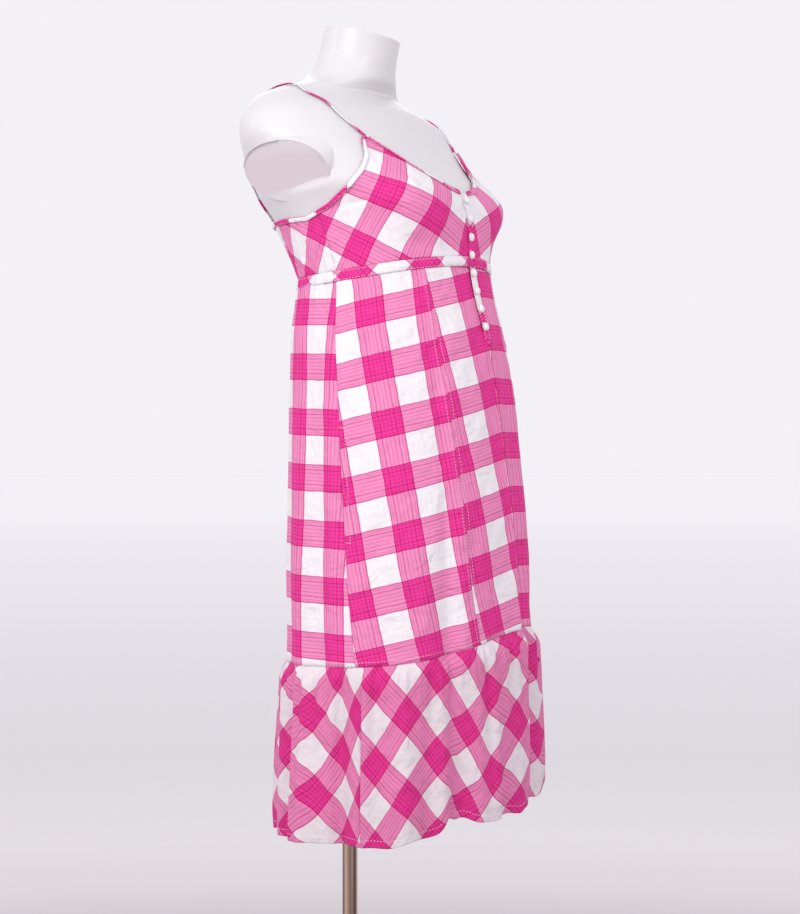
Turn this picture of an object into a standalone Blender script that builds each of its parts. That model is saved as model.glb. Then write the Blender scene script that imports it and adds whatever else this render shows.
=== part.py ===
# A sleeveless checked a-line sundress, shown on a smooth limbless dress form that stands on a
# pole and a round base. Metres, +Z up. The wearer faces -Y, so the wearer's left is +X. The
# origin is on the floor under the pole. Angles run round the body from the wearer's front
# (0 degrees) to the wearer's right (90), the back (180) and the left (270 or -90).
from bisect import bisect_right
from math import cos, exp, pi, radians, sin

import bmesh
import bpy
from mathutils import Matrix, Vector

# Cloth, seams and clearances
CLOTH = 0.0012  # wall of every cloth piece
SEAM_GAP = 0.0003  # between pieces that meet
UNDER_CLOTH = 0.0015  # air between the form and the cloth that rests on it
STEP = 0.0005  # used to read a surface's slope

# Heights that the whole dress hangs from
CASING_LOW = 1.155  # underside of the casing at the back
CASING_RISE = 0.025  # how much higher it runs at the centre front
CASING_TALL = 0.0128
SKIRT_SEAM = 0.702  # seam between the skirt and the flounce, at the side and back
SKIRT_SEAM_RISE = 0.040
HEM = 0.4955
HEM_RISE = 0.036
LIFTED_AT = -20.0  # the seam and the hem are highest at this angle, over the bust

# Seams that run down the skirt, measured from the centre front
SIDE_SEAM = 89.0

# Buttons and their placket
BUTTONS = 8
BUTTON_TOP = 1.2605
BUTTON_PITCH = 0.0219
BUTTON_RADIUS = 0.0050
BUTTON_TALL = 0.0034
PLACKET_LOW = 1.084
PLACKET_SPAN = 2.2  # degrees that it reaches on each side of the centre

# Straps and bindings
STRAP_WIDE = 0.0070
STRAP_THICK = 0.0016
BINDING_WIDE = 0.0050
BINDING_THICK = 0.0010

# Pockets in the side seams
POCKET_TOP = 0.985
POCKET_DEEP = 0.195
POCKET_REACH = 34.0  # degrees that the bag runs forward from the seam
POCKET_HUNG = 0.0006  # air between the bag and the skirt where it is sewn to the seam
POCKET_INSIDE = 0.0044  # and where it hangs free

# Stand
POLE_RADIUS = 0.0095
BASE_RADIUS = 0.150
BASE_THICK = 0.012
COLLAR_RADIUS = 0.021
COLLAR_TALL = 0.038
SOCKET_RADIUS = 0.024
SOCKET_TALL = 0.020
NECK_CUT = Vector((0, -0.0654, 1.4660))
NECK_SLOPE = Vector((0.10, -0.195, 1.0))

CHECK_PINK = (0.83, 0.10, 0.38)
BIAS_PINK = (0.80, 0.16, 0.42)
BUTTON_WHITE = (0.86, 0.84, 0.83)
FORM_WHITE = (0.84, 0.83, 0.83)
STEEL = (0.42, 0.38, 0.35)


def table(columns, *rows):
    """Rows of numbers under named columns. The first column runs upwards."""
    return {name: [row[i] for row in rows] for i, name in enumerate(columns.split())}


# The form, from its lower end to the neck. A section is half an ellipse in front of its
# centre and half of another behind it, and the centre lies forward of the pole.
FORM = table(
    "height  wide   front  back   forward",
    (0.7950, 0.1180, 0.0940, 0.1060, 0.0755),
    (0.8010, 0.1250, 0.0990, 0.1080, 0.0765),
    (0.8150, 0.1310, 0.1030, 0.1100, 0.0775),
    (0.8450, 0.1380, 0.1080, 0.1120, 0.0780),
    (0.9000, 0.1455, 0.1120, 0.1180, 0.0780),
    (0.9500, 0.1430, 0.1110, 0.1150, 0.0750),
    (1.0100, 0.1300, 0.1030, 0.1030, 0.0690),
    (1.0700, 0.1190, 0.0950, 0.0940, 0.0630),
    (1.1200, 0.1220, 0.0980, 0.0980, 0.0640),
    (1.1650, 0.1310, 0.1060, 0.1065, 0.0660),
    (1.2000, 0.1370, 0.1110, 0.1150, 0.0600),
    (1.2400, 0.1430, 0.1220, 0.1260, 0.0460),
    (1.2700, 0.1560, 0.1250, 0.1320, 0.0330),
    (1.3000, 0.1670, 0.1170, 0.1250, 0.0170),
    (1.3300, 0.1840, 0.1060, 0.1080, 0.0030),
    (1.3500, 0.1840, 0.1000, 0.0990, -0.0050),
    (1.3650, 0.1770, 0.0920, 0.0945, -0.0080),
    (1.3780, 0.1620, 0.0810, 0.0855, -0.0130),
    (1.3900, 0.1430, 0.0620, 0.0710, -0.0200),
    (1.4000, 0.1190, 0.0480, 0.0620, -0.0160),
    (1.4080, 0.0910, 0.0490, 0.0620, -0.0070),
    (1.4150, 0.0700, 0.0530, 0.0605, -0.0010),
    (1.4280, 0.0560, 0.0500, 0.0565, 0.0060),
    (1.4500, 0.0475, 0.0490, 0.0530, 0.0130),
    (1.5100, 0.0475, 0.0495, 0.0510, 0.0280),
)
# Where the form swells out of those sections, on both sides: bust, throat and side of the chest
SWELLS = (
    dict(angle=36.0, across=21.0, height=1.2570, tall=0.0380, deep=0.0225),
    dict(angle=0.0, across=38.0, height=1.3930, tall=0.0120, deep=0.0130),
    dict(angle=74.0, across=19.0, height=1.2860, tall=0.0180, deep=0.0080),
)
# The stub of each arm: a short round length that leans out and down to a flat end
ARM_END = Vector((0.1650, -0.0170, 1.2910))
ARM_OUTWARD = Vector((0.835, -0.05, -0.55))
ARM_HALF_WIDE = 0.0585
ARM_HALF_TALL = 0.0410
ARM_LONG = 0.085

# The skirt from the casing to the flounce. Turn is how far the cloth has swung round.
SKIRT = table(
    "height  wide   front  back   forward turn   princess",
    (0.6900, 0.1720, 0.1425, 0.1390, 0.0860, 12.5, 27.5),
    (0.7350, 0.1700, 0.1420, 0.1375, 0.0850, 10.0, 28.5),
    (0.8100, 0.1680, 0.1410, 0.1390, 0.0840, 7.0, 30.2),
    (0.8800, 0.1640, 0.1390, 0.1370, 0.0825, 5.5, 31.0),
    (0.9500, 0.1600, 0.1350, 0.1340, 0.0795, 4.0, 32.0),
    (1.0200, 0.1555, 0.1320, 0.1300, 0.0760, 2.5, 33.3),
    (1.1000, 0.1470, 0.1235, 0.1230, 0.0705, 1.0, 34.2),
    (1.1500, 0.1375, 0.1140, 0.1135, 0.0675, 0.2, 34.4),
    (1.1850, 0.1370, 0.1110, 0.1125, 0.0640, 0.0, 34.4),
)

# Folds of the skirt: where each runs at its top and its bottom, how wide it is in degrees,
# and how far it stands out (or in, below zero) at the top, half way down and at the bottom.
SKIRT_FOLDS = (
    dict(top=35, low=34, wide=5.0, out=(0.0, -0.001, -0.0110)),
    dict(top=28, low=27, wide=5.0, out=(0.0, 0.001, 0.0040)),
    dict(top=-3, low=-9, wide=3.4, out=(0.001, 0.003, 0.0050)),
    dict(top=-10, low=-17, wide=4.2, out=(0.0, -0.003, -0.0080)),
    dict(top=3, low=8, wide=8.0, out=(-0.0008, -0.002, -0.0025)),
    dict(top=56, low=52, wide=8.0, out=(0.0, 0.001, 0.0030)),
    dict(top=70, low=66, wide=6.0, out=(0.0, -0.001, -0.0030)),
    dict(top=101, low=97, wide=5.0, out=(-0.001, -0.003, -0.0050)),
    dict(top=118, low=114, wide=6.0, out=(0.001, 0.002, 0.0040)),
    dict(top=134, low=131, wide=5.0, out=(-0.001, -0.002, -0.0050)),
    dict(top=160, low=157, wide=6.0, out=(0.0, 0.002, 0.0050)),
    dict(top=178, low=174, wide=6.0, out=(-0.001, -0.003, -0.0060)),
    dict(top=200, low=194, wide=6.5, out=(0.0, 0.002, 0.0050)),
    dict(top=222, low=217, wide=5.0, out=(-0.001, -0.002, -0.0050)),
    dict(top=250, low=243, wide=6.0, out=(0.001, 0.002, 0.0050)),
    dict(top=275, low=268, wide=6.0, out=(0.0, -0.002, -0.0050)),
    dict(top=296, low=290, wide=6.5, out=(0.0, 0.002, 0.0060)),
    dict(top=322, low=316, wide=5.0, out=(0.0, -0.001, -0.0060)),
    dict(top=338, low=331, wide=6.0, out=(0.0, 0.002, 0.0040)),
)

# How far the flounce stands out from the seam, by how much of its depth has hung down.
FLOUNCE = table(
    "drop  spread",
    (0.00, 0.0000),
    (0.07, 0.0065),
    (0.18, 0.0080),
    (0.40, 0.0095),
    (0.65, 0.0115),
    (0.88, 0.0120),
    (1.00, 0.0100),
)
# The flounce's large folds, which grow from the seam to the hem. Lift is how far a fold
# raises the hem where it stands.
FLOUNCE_FOLDS = (
    dict(at=-34, wide=5.0, seam=0.003, hem=0.0060, lift=0.020),
    dict(at=-17, wide=5.0, seam=-0.004, hem=-0.0110, lift=0.012),
    dict(at=-3, wide=5.5, seam=0.003, hem=0.0080, lift=-0.006),
    dict(at=12, wide=4.5, seam=0.001, hem=0.0090, lift=-0.003),
    dict(at=26, wide=4.0, seam=-0.002, hem=-0.0120, lift=0.010),
    dict(at=33, wide=3.6, seam=0.003, hem=0.0020, lift=0.014),
    dict(at=43, wide=4.5, seam=-0.004, hem=-0.0100, lift=-0.002),
    dict(at=60, wide=8.0, seam=0.002, hem=0.0060, lift=-0.006),
    dict(at=72, wide=5.0, seam=0.003, hem=0.0060, lift=-0.002),
    dict(at=82, wide=5.5, seam=-0.006, hem=-0.0130, lift=0.0),
    dict(at=104, wide=7.5, seam=0.005, hem=0.0130, lift=0.0),
    dict(at=115.5, wide=4.4, seam=-0.006, hem=-0.0140, lift=0.0),
    dict(at=127, wide=6.0, seam=0.003, hem=0.0080, lift=0.0),
    dict(at=138, wide=4.5, seam=-0.003, hem=-0.0060, lift=0.003),
    dict(at=147, wide=5.5, seam=0.002, hem=0.0070, lift=0.0),
    dict(at=164, wide=5.0, seam=-0.003, hem=-0.0100, lift=0.002),
    dict(at=180, wide=6.0, seam=0.002, hem=0.0090, lift=-0.002),
    dict(at=197, wide=5.0, seam=-0.002, hem=-0.0080, lift=0.002),
    dict(at=214, wide=6.0, seam=0.003, hem=0.0080, lift=0.0),
    dict(at=231, wide=5.0, seam=-0.003, hem=-0.0110, lift=0.002),
    dict(at=248, wide=6.0, seam=0.002, hem=0.0080, lift=-0.002),
    dict(at=265, wide=4.8, seam=-0.003, hem=-0.0090, lift=0.0),
    dict(at=282, wide=6.0, seam=0.002, hem=0.0090, lift=0.0),
    dict(at=301, wide=5.0, seam=-0.003, hem=-0.0090, lift=0.003),
)
FLOUNCE_SIDE = 85.0  # its side seams hang a little forward of the skirt's
FLOUNCE_GATHERS = 44
FLOUNCE_GATHER_DEEP = 0.0016
BACK_GATHERS = 14
BACK_GATHER_DEEP = 0.0014

# Top edge of the bodice, from the bottom of the neckline to the strap and down the armhole
# to the top of the back.
TOP_EDGE = table(
    "angle  height",
    (0.0, 1.2690),
    (10.0, 1.2750),
    (20.0, 1.2910),
    (28.0, 1.3130),
    (33.0, 1.3310),
    (35.0, 1.3340),
    (37.0, 1.3305),
    (43.0, 1.3095),
    (52.0, 1.2900),
    (64.0, 1.2715),
    (80.0, 1.2515),
    (96.0, 1.2385),
    (130.0, 1.2385),
    (180.0, 1.2390),
)
APEX = 35.0
FRONT_COLUMNS = 20

# How far a strap's middle lies from the centre, from the cup over the shoulder to the back.
STRAP = table(
    "along  middle",
    (0.00, 0.1040),
    (0.05, 0.1130),
    (0.12, 0.1230),
    (0.20, 0.1210),
    (0.30, 0.1170),
    (0.38, 0.1070),
    (0.50, 0.0930),
    (0.70, 0.0860),
    (1.00, 0.0800),
)


def smooth(rows, column, at):
    """The named column of a table, read between its rows along an even curve."""
    keys = next(iter(rows.values()))
    values = rows[column]
    last = len(keys) - 1
    at = min(max(at, keys[0]), keys[last])
    i = min(bisect_right(keys, at), last)
    run = keys[i] - keys[i - 1]
    t = (at - keys[i - 1]) / run
    before, after = max(i - 2, 0), min(i + 1, last)
    slope0 = (values[i] - values[before]) / (keys[i] - keys[before]) * run
    slope1 = (values[after] - values[i - 1]) / (keys[after] - keys[i - 1]) * run
    blend = t * t * (3 - 2 * t)
    return (
        values[i - 1] * (1 - blend)
        + values[i] * blend
        + slope0 * t * (1 - t) ** 2
        - slope1 * t * t * (1 - t)
    )


def straight(rows, column, at):
    """The named column of a table, read along straight lines between its rows."""
    keys = next(iter(rows.values()))
    i = min(max(bisect_right(keys, at), 1), len(keys) - 1)
    t = (at - keys[i - 1]) / (keys[i] - keys[i - 1])
    return rows[column][i - 1] * (1 - t) + rows[column][i] * t


def turned(angle):
    """The angle brought between -180 and 180."""
    return (angle + 180) % 360 - 180


def hump(distance, wide):
    return exp(-((distance / wide) ** 2))


def ease(t):
    t = min(max(t, 0.0), 1.0)
    return t * t * (3 - 2 * t)


def section(rows, angle, height, out=0.0):
    """A point of the section at this height, moved out from the section's centre."""
    wide = smooth(rows, "wide", height)
    deep = smooth(rows, "front" if cos(radians(angle)) > 0 else "back", height)
    forward = smooth(rows, "forward", height)
    side, ahead = sin(radians(angle)), cos(radians(angle))
    return Vector((-(wide + out) * side, -forward - (deep + out) * ahead, height))


def form_point(angle, height):
    out = 0.0
    for swell in SWELLS:
        round_it = hump(abs(turned(angle)) - swell["angle"], swell["across"])
        out += swell["deep"] * round_it * hump(height - swell["height"], swell["tall"])
    return section(FORM, angle, height, out)


def back_gather(angle, height):
    """Ruching that the elastic makes across the back, above and below the casing."""
    across = ease((abs(turned(angle)) - SIDE_SEAM) / 12)
    near = hump(height - casing_low(angle), 0.075)
    return BACK_GATHER_DEEP * across * near * cos(radians(angle) * BACK_GATHERS * 2)


def bodice_point(angle, height):
    """The outer face of the bodice, which rests on the form."""
    point = form_point(angle, height)
    lean = normal_of(form_point, angle, height)
    return point + lean * (UNDER_CLOTH + CLOTH + BACK_GATHER_DEEP * 0.5 + back_gather(angle, height) * 0.5)


def skirt_point(angle, height):
    """The outer face of the skirt. The angle is that of the pattern, before it swings."""
    angle -= smooth(SKIRT, "turn", height)
    fall = min(max((CASING_LOW - height) / (CASING_LOW - SKIRT_SEAM), 0.0), 1.0)
    out = back_gather(angle, height)
    for fold in SKIRT_FOLDS:
        at = fold["top"] + (fold["low"] - fold["top"]) * fall
        top, half, low = fold["out"]
        deep = top + (half - top) * fall * 2 if fall < 0.5 else half + (low - half) * (fall * 2 - 1)
        out += deep * hump(turned(angle - at), fold["wide"])
    return section(SKIRT, angle, height, out)


def flounce_point(angle, drop):
    """The outer face of the flounce, by how much of its depth has hung down."""
    swung = angle - smooth(SKIRT, "turn", skirt_seam(angle)) - 2.0 * drop
    spread = smooth(FLOUNCE, "spread", drop)
    gather = cos(radians(angle) * FLOUNCE_GATHERS + 1.3 * sin(radians(angle) * 3))
    out = spread + FLOUNCE_GATHER_DEEP * gather * ease(drop * 9) * (1 - 0.75 * ease(drop * 1.6))
    lift = 0.0
    for fold in FLOUNCE_FOLDS:
        here = hump(turned(swung - fold["at"]), fold["wide"])
        out += here * (fold["seam"] * ease(drop * 9) * (1 - drop) + fold["hem"] * drop)
        lift += here * fold["lift"]
    seam = skirt_point(angle, skirt_seam(angle))
    height = seam.z + (hem(swung) + lift - seam.z) * drop
    flare = radians(swung)
    return Vector((seam.x - out * sin(flare), seam.y - out * cos(flare), height))


def casing_low(angle):
    return CASING_LOW + CASING_RISE * ((1 + cos(radians(angle))) / 2) ** 2.5


def skirt_seam(angle):
    swing = 10.0
    return SKIRT_SEAM + SKIRT_SEAM_RISE * ((1 + cos(radians(angle - swing - LIFTED_AT))) / 2) ** 4


def hem(angle):
    return HEM + HEM_RISE * ((1 + cos(radians(angle - LIFTED_AT))) / 2) ** 4


def top_edge(angle):
    return straight(TOP_EDGE, "height", abs(turned(angle)))


def normal_of(surface, first, second, across=0.35, along=STEP, level=False):
    """The way out of a surface at one of its points, or level with the floor."""
    right = surface(first + across, second) - surface(first - across, second)
    up = surface(first, second + along) - surface(first, second - along)
    out = up.cross(right) * (-1 if along < 0 else 1)
    if level:
        out.z = 0
    return out.normalized()


def material(name, colour, roughness, metallic=0.0):
    made = bpy.data.materials.get(name) or bpy.data.materials.new(name)
    made.use_nodes = True
    shader = made.node_tree.nodes["Principled BSDF"]
    shader.inputs["Base Color"].default_value = (*colour, 1)
    shader.inputs["Roughness"].default_value = roughness
    shader.inputs["Metallic"].default_value = metallic
    return made


def finish(name, mesh, look):
    """Put a bmesh in the scene as a named object."""
    data = bpy.data.meshes.new(name)
    mesh.to_mesh(data)
    mesh.free()
    data.materials.append(look)
    data.shade_smooth()
    data.set_sharp_from_angle(angle=radians(40))
    made = bpy.data.objects.new(name, data)
    bpy.context.scene.collection.objects.link(made)
    return made


def wall(name, look, surface, place, columns, rows, thick=CLOTH, lift=0.0, along=STEP, level=False):
    """A closed wall of cloth. Place turns a spot of the piece (0 to 1 across and up) into a
    spot of the surface, and lift moves the piece out from it."""
    mesh = bmesh.new()
    bmesh.ops.create_grid(mesh, x_segments=columns, y_segments=rows, size=0.5)
    lift_at = lift if callable(lift) else lambda across, up: lift
    inner = {}
    for corner in mesh.verts:
        across, up = corner.co.x + 0.5, corner.co.y + 0.5
        first, second = place(across, up)
        out = normal_of(surface, first, second, along=along, level=level)
        point = surface(first, second) + out * lift_at(across, up)
        corner.co = point
        inner[corner.index] = point - out * thick
    outside = list(mesh.faces)
    spots = {tuple(corner.co): inner[corner.index] for corner in mesh.verts}
    made = bmesh.ops.extrude_face_region(mesh, geom=outside, use_keep_orig=True)
    for item in made["geom"]:
        if isinstance(item, bmesh.types.BMVert):
            item.co = spots[tuple(item.co)]
    bmesh.ops.recalc_face_normals(mesh, faces=mesh.faces)
    return finish(name, mesh, look)


def seam_inset(radius=0.14):
    """Half of a seam's gap, in degrees round the body."""
    return SEAM_GAP / 2 / radius * 180 / pi * 1.15


def spread(start, end, across):
    return start + (end - start) * across


def front_angle(across):
    """Across a bodice front, from the opening to the side seam. A column falls on the apex."""
    inset = seam_inset()
    if across < 0.5:
        return spread(inset * 1.2, APEX, across * 2)
    return spread(APEX, SIDE_SEAM - inset, across * 2 - 1)


def back_angle(across):
    inset = seam_inset()
    return spread(SIDE_SEAM + inset, 360 - SIDE_SEAM - inset, across)


def build_bodice(look):
    floor = CASING_TALL + SEAM_GAP

    def up_to_edge(angle, up, rows):
        """The last row is as tall as the binding that lies on it."""
        low = casing_low(angle) + floor
        high = top_edge(angle) - BINDING_WIDE
        row = up * rows
        return angle, spread(low, high, row / (rows - 1)) if row < rows - 0.5 else top_edge(angle)

    for side, sign in (("right", 1), ("left", -1)):

        def place(across, up):
            return up_to_edge(sign * front_angle(across), up, 8)

        wall(f"bodice_front_{side}", look, bodice_point, place, FRONT_COLUMNS, 8)

    def place_back(across, up):
        return up_to_edge(back_angle(across), up, 4)

    wall("bodice_back", look, bodice_point, place_back, BACK_GATHERS * 3, 4)


def build_bindings(look):
    """Narrow bias strips that lie on the panels, just inside their edges."""
    out = SEAM_GAP * 2.6 + BINDING_THICK
    half = FRONT_COLUMNS // 2
    skip = 1 / FRONT_COLUMNS
    back_columns = BACK_GATHERS * 3
    columns = 2 * (half - 1) + back_columns + 2

    for side, sign in (("right", 1), ("left", -1)):

        def place(across, up):
            angle = front_angle(spread(skip, 0.5 - skip, across))
            return sign * angle, top_edge(angle) - BINDING_WIDE * (1 - up)

        wall(f"neck_binding_{side}", look, bodice_point, place, half - 2, 1, BINDING_THICK, out)

    def round_back(across, up):
        """Its columns lie on those of the three panels that it crosses."""
        column = across * columns
        if column < half - 0.5:
            angle = front_angle(0.5 + (column + 1) * skip)
        elif column > columns - half + 0.5:
            angle = 360 - front_angle(0.5 + (columns - column + 1) * skip)
        else:
            angle = back_angle((column - half) / back_columns)
        return angle, top_edge(angle) - BINDING_WIDE * (1 - up)

    wall("armhole_binding", look, bodice_point, round_back, columns, 1, BINDING_THICK, out + SEAM_GAP)


def build_casing(look):
    inset = seam_inset()
    opening = PLACKET_SPAN + inset * 2  # each front length ends beside the placket
    ends = {
        "front_right": (opening, SIDE_SEAM - inset),
        "front_left": (-SIDE_SEAM + inset, -opening),
        "back": (SIDE_SEAM + inset, 360 - SIDE_SEAM - inset),
    }
    for name, (start, end) in ends.items():

        def place(across, up):
            angle = spread(start, end, across)
            return angle, casing_low(angle) + SEAM_GAP + (CASING_TALL - SEAM_GAP) * up

        def swell(across, up):
            return 0.0006 + 0.0012 * sin(pi * up)

        columns = BACK_GATHERS * 2 if name == "back" else 16
        wall(f"casing_{name}", look, bodice_point, place, columns, 3, 0.0020, swell)


def build_skirt(look):
    inset = seam_inset()

    def place_between(start, end):
        def place(across, up):
            def edge(which, height):
                inward = inset if which is start else -inset
                at = which(height) if callable(which) else which
                return at + inward

            angle = 0.0
            height = 1.0
            for _ in range(3):  # the seams lean, so the height and the angle settle together
                angle = spread(edge(start, height), edge(end, height), across)
                low, high = skirt_seam(angle) + SEAM_GAP / 2, casing_low(angle) - SEAM_GAP
                height = high - (high - low) * (1 - up) ** 1.5  # rows lie closer near the casing
            return angle, height

        return place

    def princess(height):
        return smooth(SKIRT, "princess", height)

    def princess_left(height):
        return -princess(height)

    panels = (
        ("skirt_centre_right", 0.0, princess, 8),
        ("skirt_side_right", princess, SIDE_SEAM, 14),
        ("skirt_back", SIDE_SEAM, 360 - SIDE_SEAM, BACK_GATHERS * 3),
        ("skirt_side_left", -SIDE_SEAM, princess_left, 14),
        ("skirt_centre_left", princess_left, 0.0, 8),
    )
    for name, start, end, columns in panels:
        wall(name, look, skirt_point, place_between(start, end), columns, 8, level=True)


def build_flounce(look):
    inset = seam_inset(0.16)
    for name, start, end in (
        ("flounce_front", -FLOUNCE_SIDE + inset, FLOUNCE_SIDE - inset),
        ("flounce_back", FLOUNCE_SIDE + inset, 360 - FLOUNCE_SIDE - inset),
    ):

        def place(across, up):
            drop = (1 - up) ** 1.25
            return spread(start, end, across), 0.001 + 0.999 * drop

        wall(name, look, flounce_point, place, FLOUNCE_GATHERS * 3 // 2, 5, along=-0.002, level=True)


def build_pockets(look):
    """A flat bag inside each side seam, hung from the opening's edge."""

    def lift(across, up):
        return -CLOTH - spread(POCKET_HUNG, POCKET_INSIDE, ease(across * 3))

    for side, sign in (("right", 1), ("left", -1)):

        def place(across, up):
            angle = sign * (SIDE_SEAM - 1.2 - POCKET_REACH * across)
            slant = 0.030 * across
            rounded = 0.028 * (across**2 + (1 - across) ** 2) * (1 - up) ** 3
            return angle, POCKET_TOP - slant * up - POCKET_DEEP * (1 - up) + rounded

        wall(f"pocket_{side}", look, skirt_point, place, 6, 6, CLOTH * 1.5, lift, level=True)


def placket_point(angle, height):
    """The front opening's line, over the bodice, the casing and the skirt."""
    mix = ease((height - casing_low(angle) + 0.004) / (CASING_TALL + 0.006))
    below = skirt_point(angle, min(height, 1.185))
    return below + (bodice_point(angle, height) - below) * mix


def over_skirt(height):
    """How much further out the placket runs past the casing and over the skirt."""
    return 0.0009 * ease((casing_low(0) + CASING_TALL - height) / CASING_TALL)


def placket_face(angle, height):
    """The outer face of the placket."""
    out = normal_of(placket_point, angle, height)
    return placket_point(angle, height) + out * (SEAM_GAP + BINDING_THICK + over_skirt(height))


def build_placket(look, pearl):
    top = top_edge(0) - 0.0006

    def place(across, up):
        height = spread(PLACKET_LOW, top, up)
        return spread(-PLACKET_SPAN, PLACKET_SPAN, across), height

    def lift(across, up):
        return SEAM_GAP + BINDING_THICK + over_skirt(spread(PLACKET_LOW, top, up))

    wall("placket", look, placket_point, place, 2, 26, BINDING_THICK, lift)

    for number in range(BUTTONS):
        height = BUTTON_TOP - BUTTON_PITCH * number
        out = normal_of(placket_point, 0.0, height)
        middle = placket_face(0.0, height)
        reaches = (-1.3, -0.65, 0.0, 0.65, 1.3)  # the button stands on the highest spot under it
        under = [placket_face(0.0, height + BUTTON_RADIUS * reach) - middle for reach in reaches]
        foot = middle + out * (max(spot.dot(out) for spot in under) + SEAM_GAP)
        mesh = bmesh.new()
        bmesh.ops.create_cone(
            mesh, cap_ends=True, segments=14, radius1=BUTTON_RADIUS, radius2=BUTTON_RADIUS * 0.72,
            depth=BUTTON_TALL,
        )
        rim = [edge for edge in mesh.edges if all(v.co.z > 0 for v in edge.verts)]
        bmesh.ops.bevel(mesh, geom=rim, offset=0.0008, segments=1, profile=0.5, affect="EDGES")
        facing = out.to_track_quat("Z", "Y").to_matrix().to_4x4()
        mesh.transform(Matrix.Translation(foot + out * BUTTON_TALL / 2) @ facing)
        finish(f"button_{number + 1}", mesh, pearl)


def inside_form(point):
    wide = smooth(FORM, "wide", point.z)
    ahead = -point.y - smooth(FORM, "forward", point.z)
    deep = smooth(FORM, "front" if ahead > 0 else "back", point.z)
    return (point.x / wide) ** 2 + (ahead / deep) ** 2 < 1


def strap_point(along, across):
    """The form's skin under a strap. Along is the angle from straight ahead, over the
    shoulder, to straight behind."""
    middle = Vector((across, 0.0, 1.285))
    way = Vector((0.0, -cos(radians(along)), sin(radians(along))))
    near, far = 0.0, 0.25
    for _ in range(24):
        reach = (near + far) / 2
        if inside_form(middle + way * reach):
            near = reach
        else:
            far = reach
    return middle + way * near


def strap_end(height, across, low, high):
    """The angle at which a strap's outer face comes down to this height."""
    for _ in range(24):
        along = (low + high) / 2
        outward = normal_of(strap_point, along, across)
        if strap_point(along, across).z + outward.z * (UNDER_CLOTH + STRAP_THICK) < height:
            low = along
        else:
            high = along
    return along


def build_straps(look):
    front_end = strap_end(top_edge(APEX) + SEAM_GAP * 8, STRAP["middle"][0], 0, 90)
    back_end = strap_end(top_edge(180) + SEAM_GAP * 4, STRAP["middle"][-1], 270, 120)
    for side, sign in (("right", -1), ("left", 1)):

        def place(across, up):
            middle = smooth(STRAP, "middle", across) * sign
            return spread(front_end, back_end, across), middle + STRAP_WIDE * (up - 0.5)

        wall(f"strap_{side}", look, strap_point, place, 40, 1, STRAP_THICK, UNDER_CLOTH + STRAP_THICK)


def build_form(look):
    mesh = bmesh.new()
    columns = 45
    heights = FORM["height"]
    rings = [heights[0]]
    for low, high in zip(heights, heights[1:]):
        steps = 2 if high - low > 0.034 or 1.37 < low < 1.41 else 1
        rings += [spread(low, high, (i + 1) / steps) for i in range(steps)]
    bmesh.ops.create_grid(mesh, x_segments=columns, y_segments=len(rings) - 1, size=0.5)
    for corner in mesh.verts:
        angle = (corner.co.x + 0.5) * 360
        corner.co = form_point(angle, rings[round((corner.co.y + 0.5) * (len(rings) - 1))])
    bmesh.ops.remove_doubles(mesh, verts=mesh.verts, dist=1e-6)
    open_edges = [edge for edge in mesh.edges if edge.is_boundary]
    bmesh.ops.contextual_create(mesh, geom=[e for e in open_edges if e.verts[0].co.z < 1])
    bmesh.ops.contextual_create(mesh, geom=[e for e in open_edges if e.verts[0].co.z > 1])
    everything = list(mesh.verts) + list(mesh.edges) + list(mesh.faces)
    bmesh.ops.bisect_plane(
        mesh, geom=everything, plane_co=NECK_CUT, plane_no=NECK_SLOPE.normalized(), clear_outer=True,
        dist=1e-6,
    )
    bmesh.ops.contextual_create(mesh, geom=[edge for edge in mesh.edges if edge.is_boundary])
    bmesh.ops.recalc_face_normals(mesh, faces=mesh.faces)
    torso = finish("form_torso", mesh, look)
    for side, sign in (("right", -1), ("left", 1)):
        joined = torso.modifiers.new(f"arm_{side}", "BOOLEAN")
        joined.operation = "UNION"
        joined.object = build_arm(side, sign, look)


def build_arm(side, sign, look):
    """The stub of an arm, which the torso takes in."""
    outward = Vector((ARM_OUTWARD.x * sign, ARM_OUTWARD.y, ARM_OUTWARD.z)).normalized()
    end = Vector((ARM_END.x * sign, ARM_END.y, ARM_END.z))
    up = Vector((0, 1, 0)).cross(outward).normalized()
    wide = outward.cross(up)
    mesh = bmesh.new()
    bmesh.ops.create_cone(mesh, cap_ends=True, segments=32, radius1=1, radius2=1, depth=ARM_LONG)
    stretch = Matrix((wide * ARM_HALF_WIDE, up * ARM_HALF_TALL, outward)).transposed().to_4x4()
    mesh.transform(Matrix.Translation(end - outward * ARM_LONG / 2) @ stretch)
    bmesh.ops.recalc_face_normals(mesh, faces=mesh.faces)
    stub = finish(f"arm_guide_{side}", mesh, look)
    stub.hide_render = True
    stub.display_type = "WIRE"
    return stub


def turned_piece(name, look, profile, segments=40):
    """A solid of revolution about the pole. The profile is (radius, height) from the lower
    face's centre to the upper face's centre."""
    mesh = bmesh.new()
    corners = [mesh.verts.new((radius, 0.0, height)) for radius, height in profile]
    edges = [mesh.edges.new(pair) for pair in zip(corners, corners[1:])]
    bmesh.ops.spin(
        mesh, geom=corners + edges, cent=(0, 0, 0), axis=(0, 0, 1), angle=2 * pi, steps=segments,
        use_merge=True,
    )
    bmesh.ops.remove_doubles(mesh, verts=mesh.verts, dist=1e-7)
    bmesh.ops.recalc_face_normals(mesh, faces=mesh.faces)
    return finish(name, mesh, look)


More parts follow.
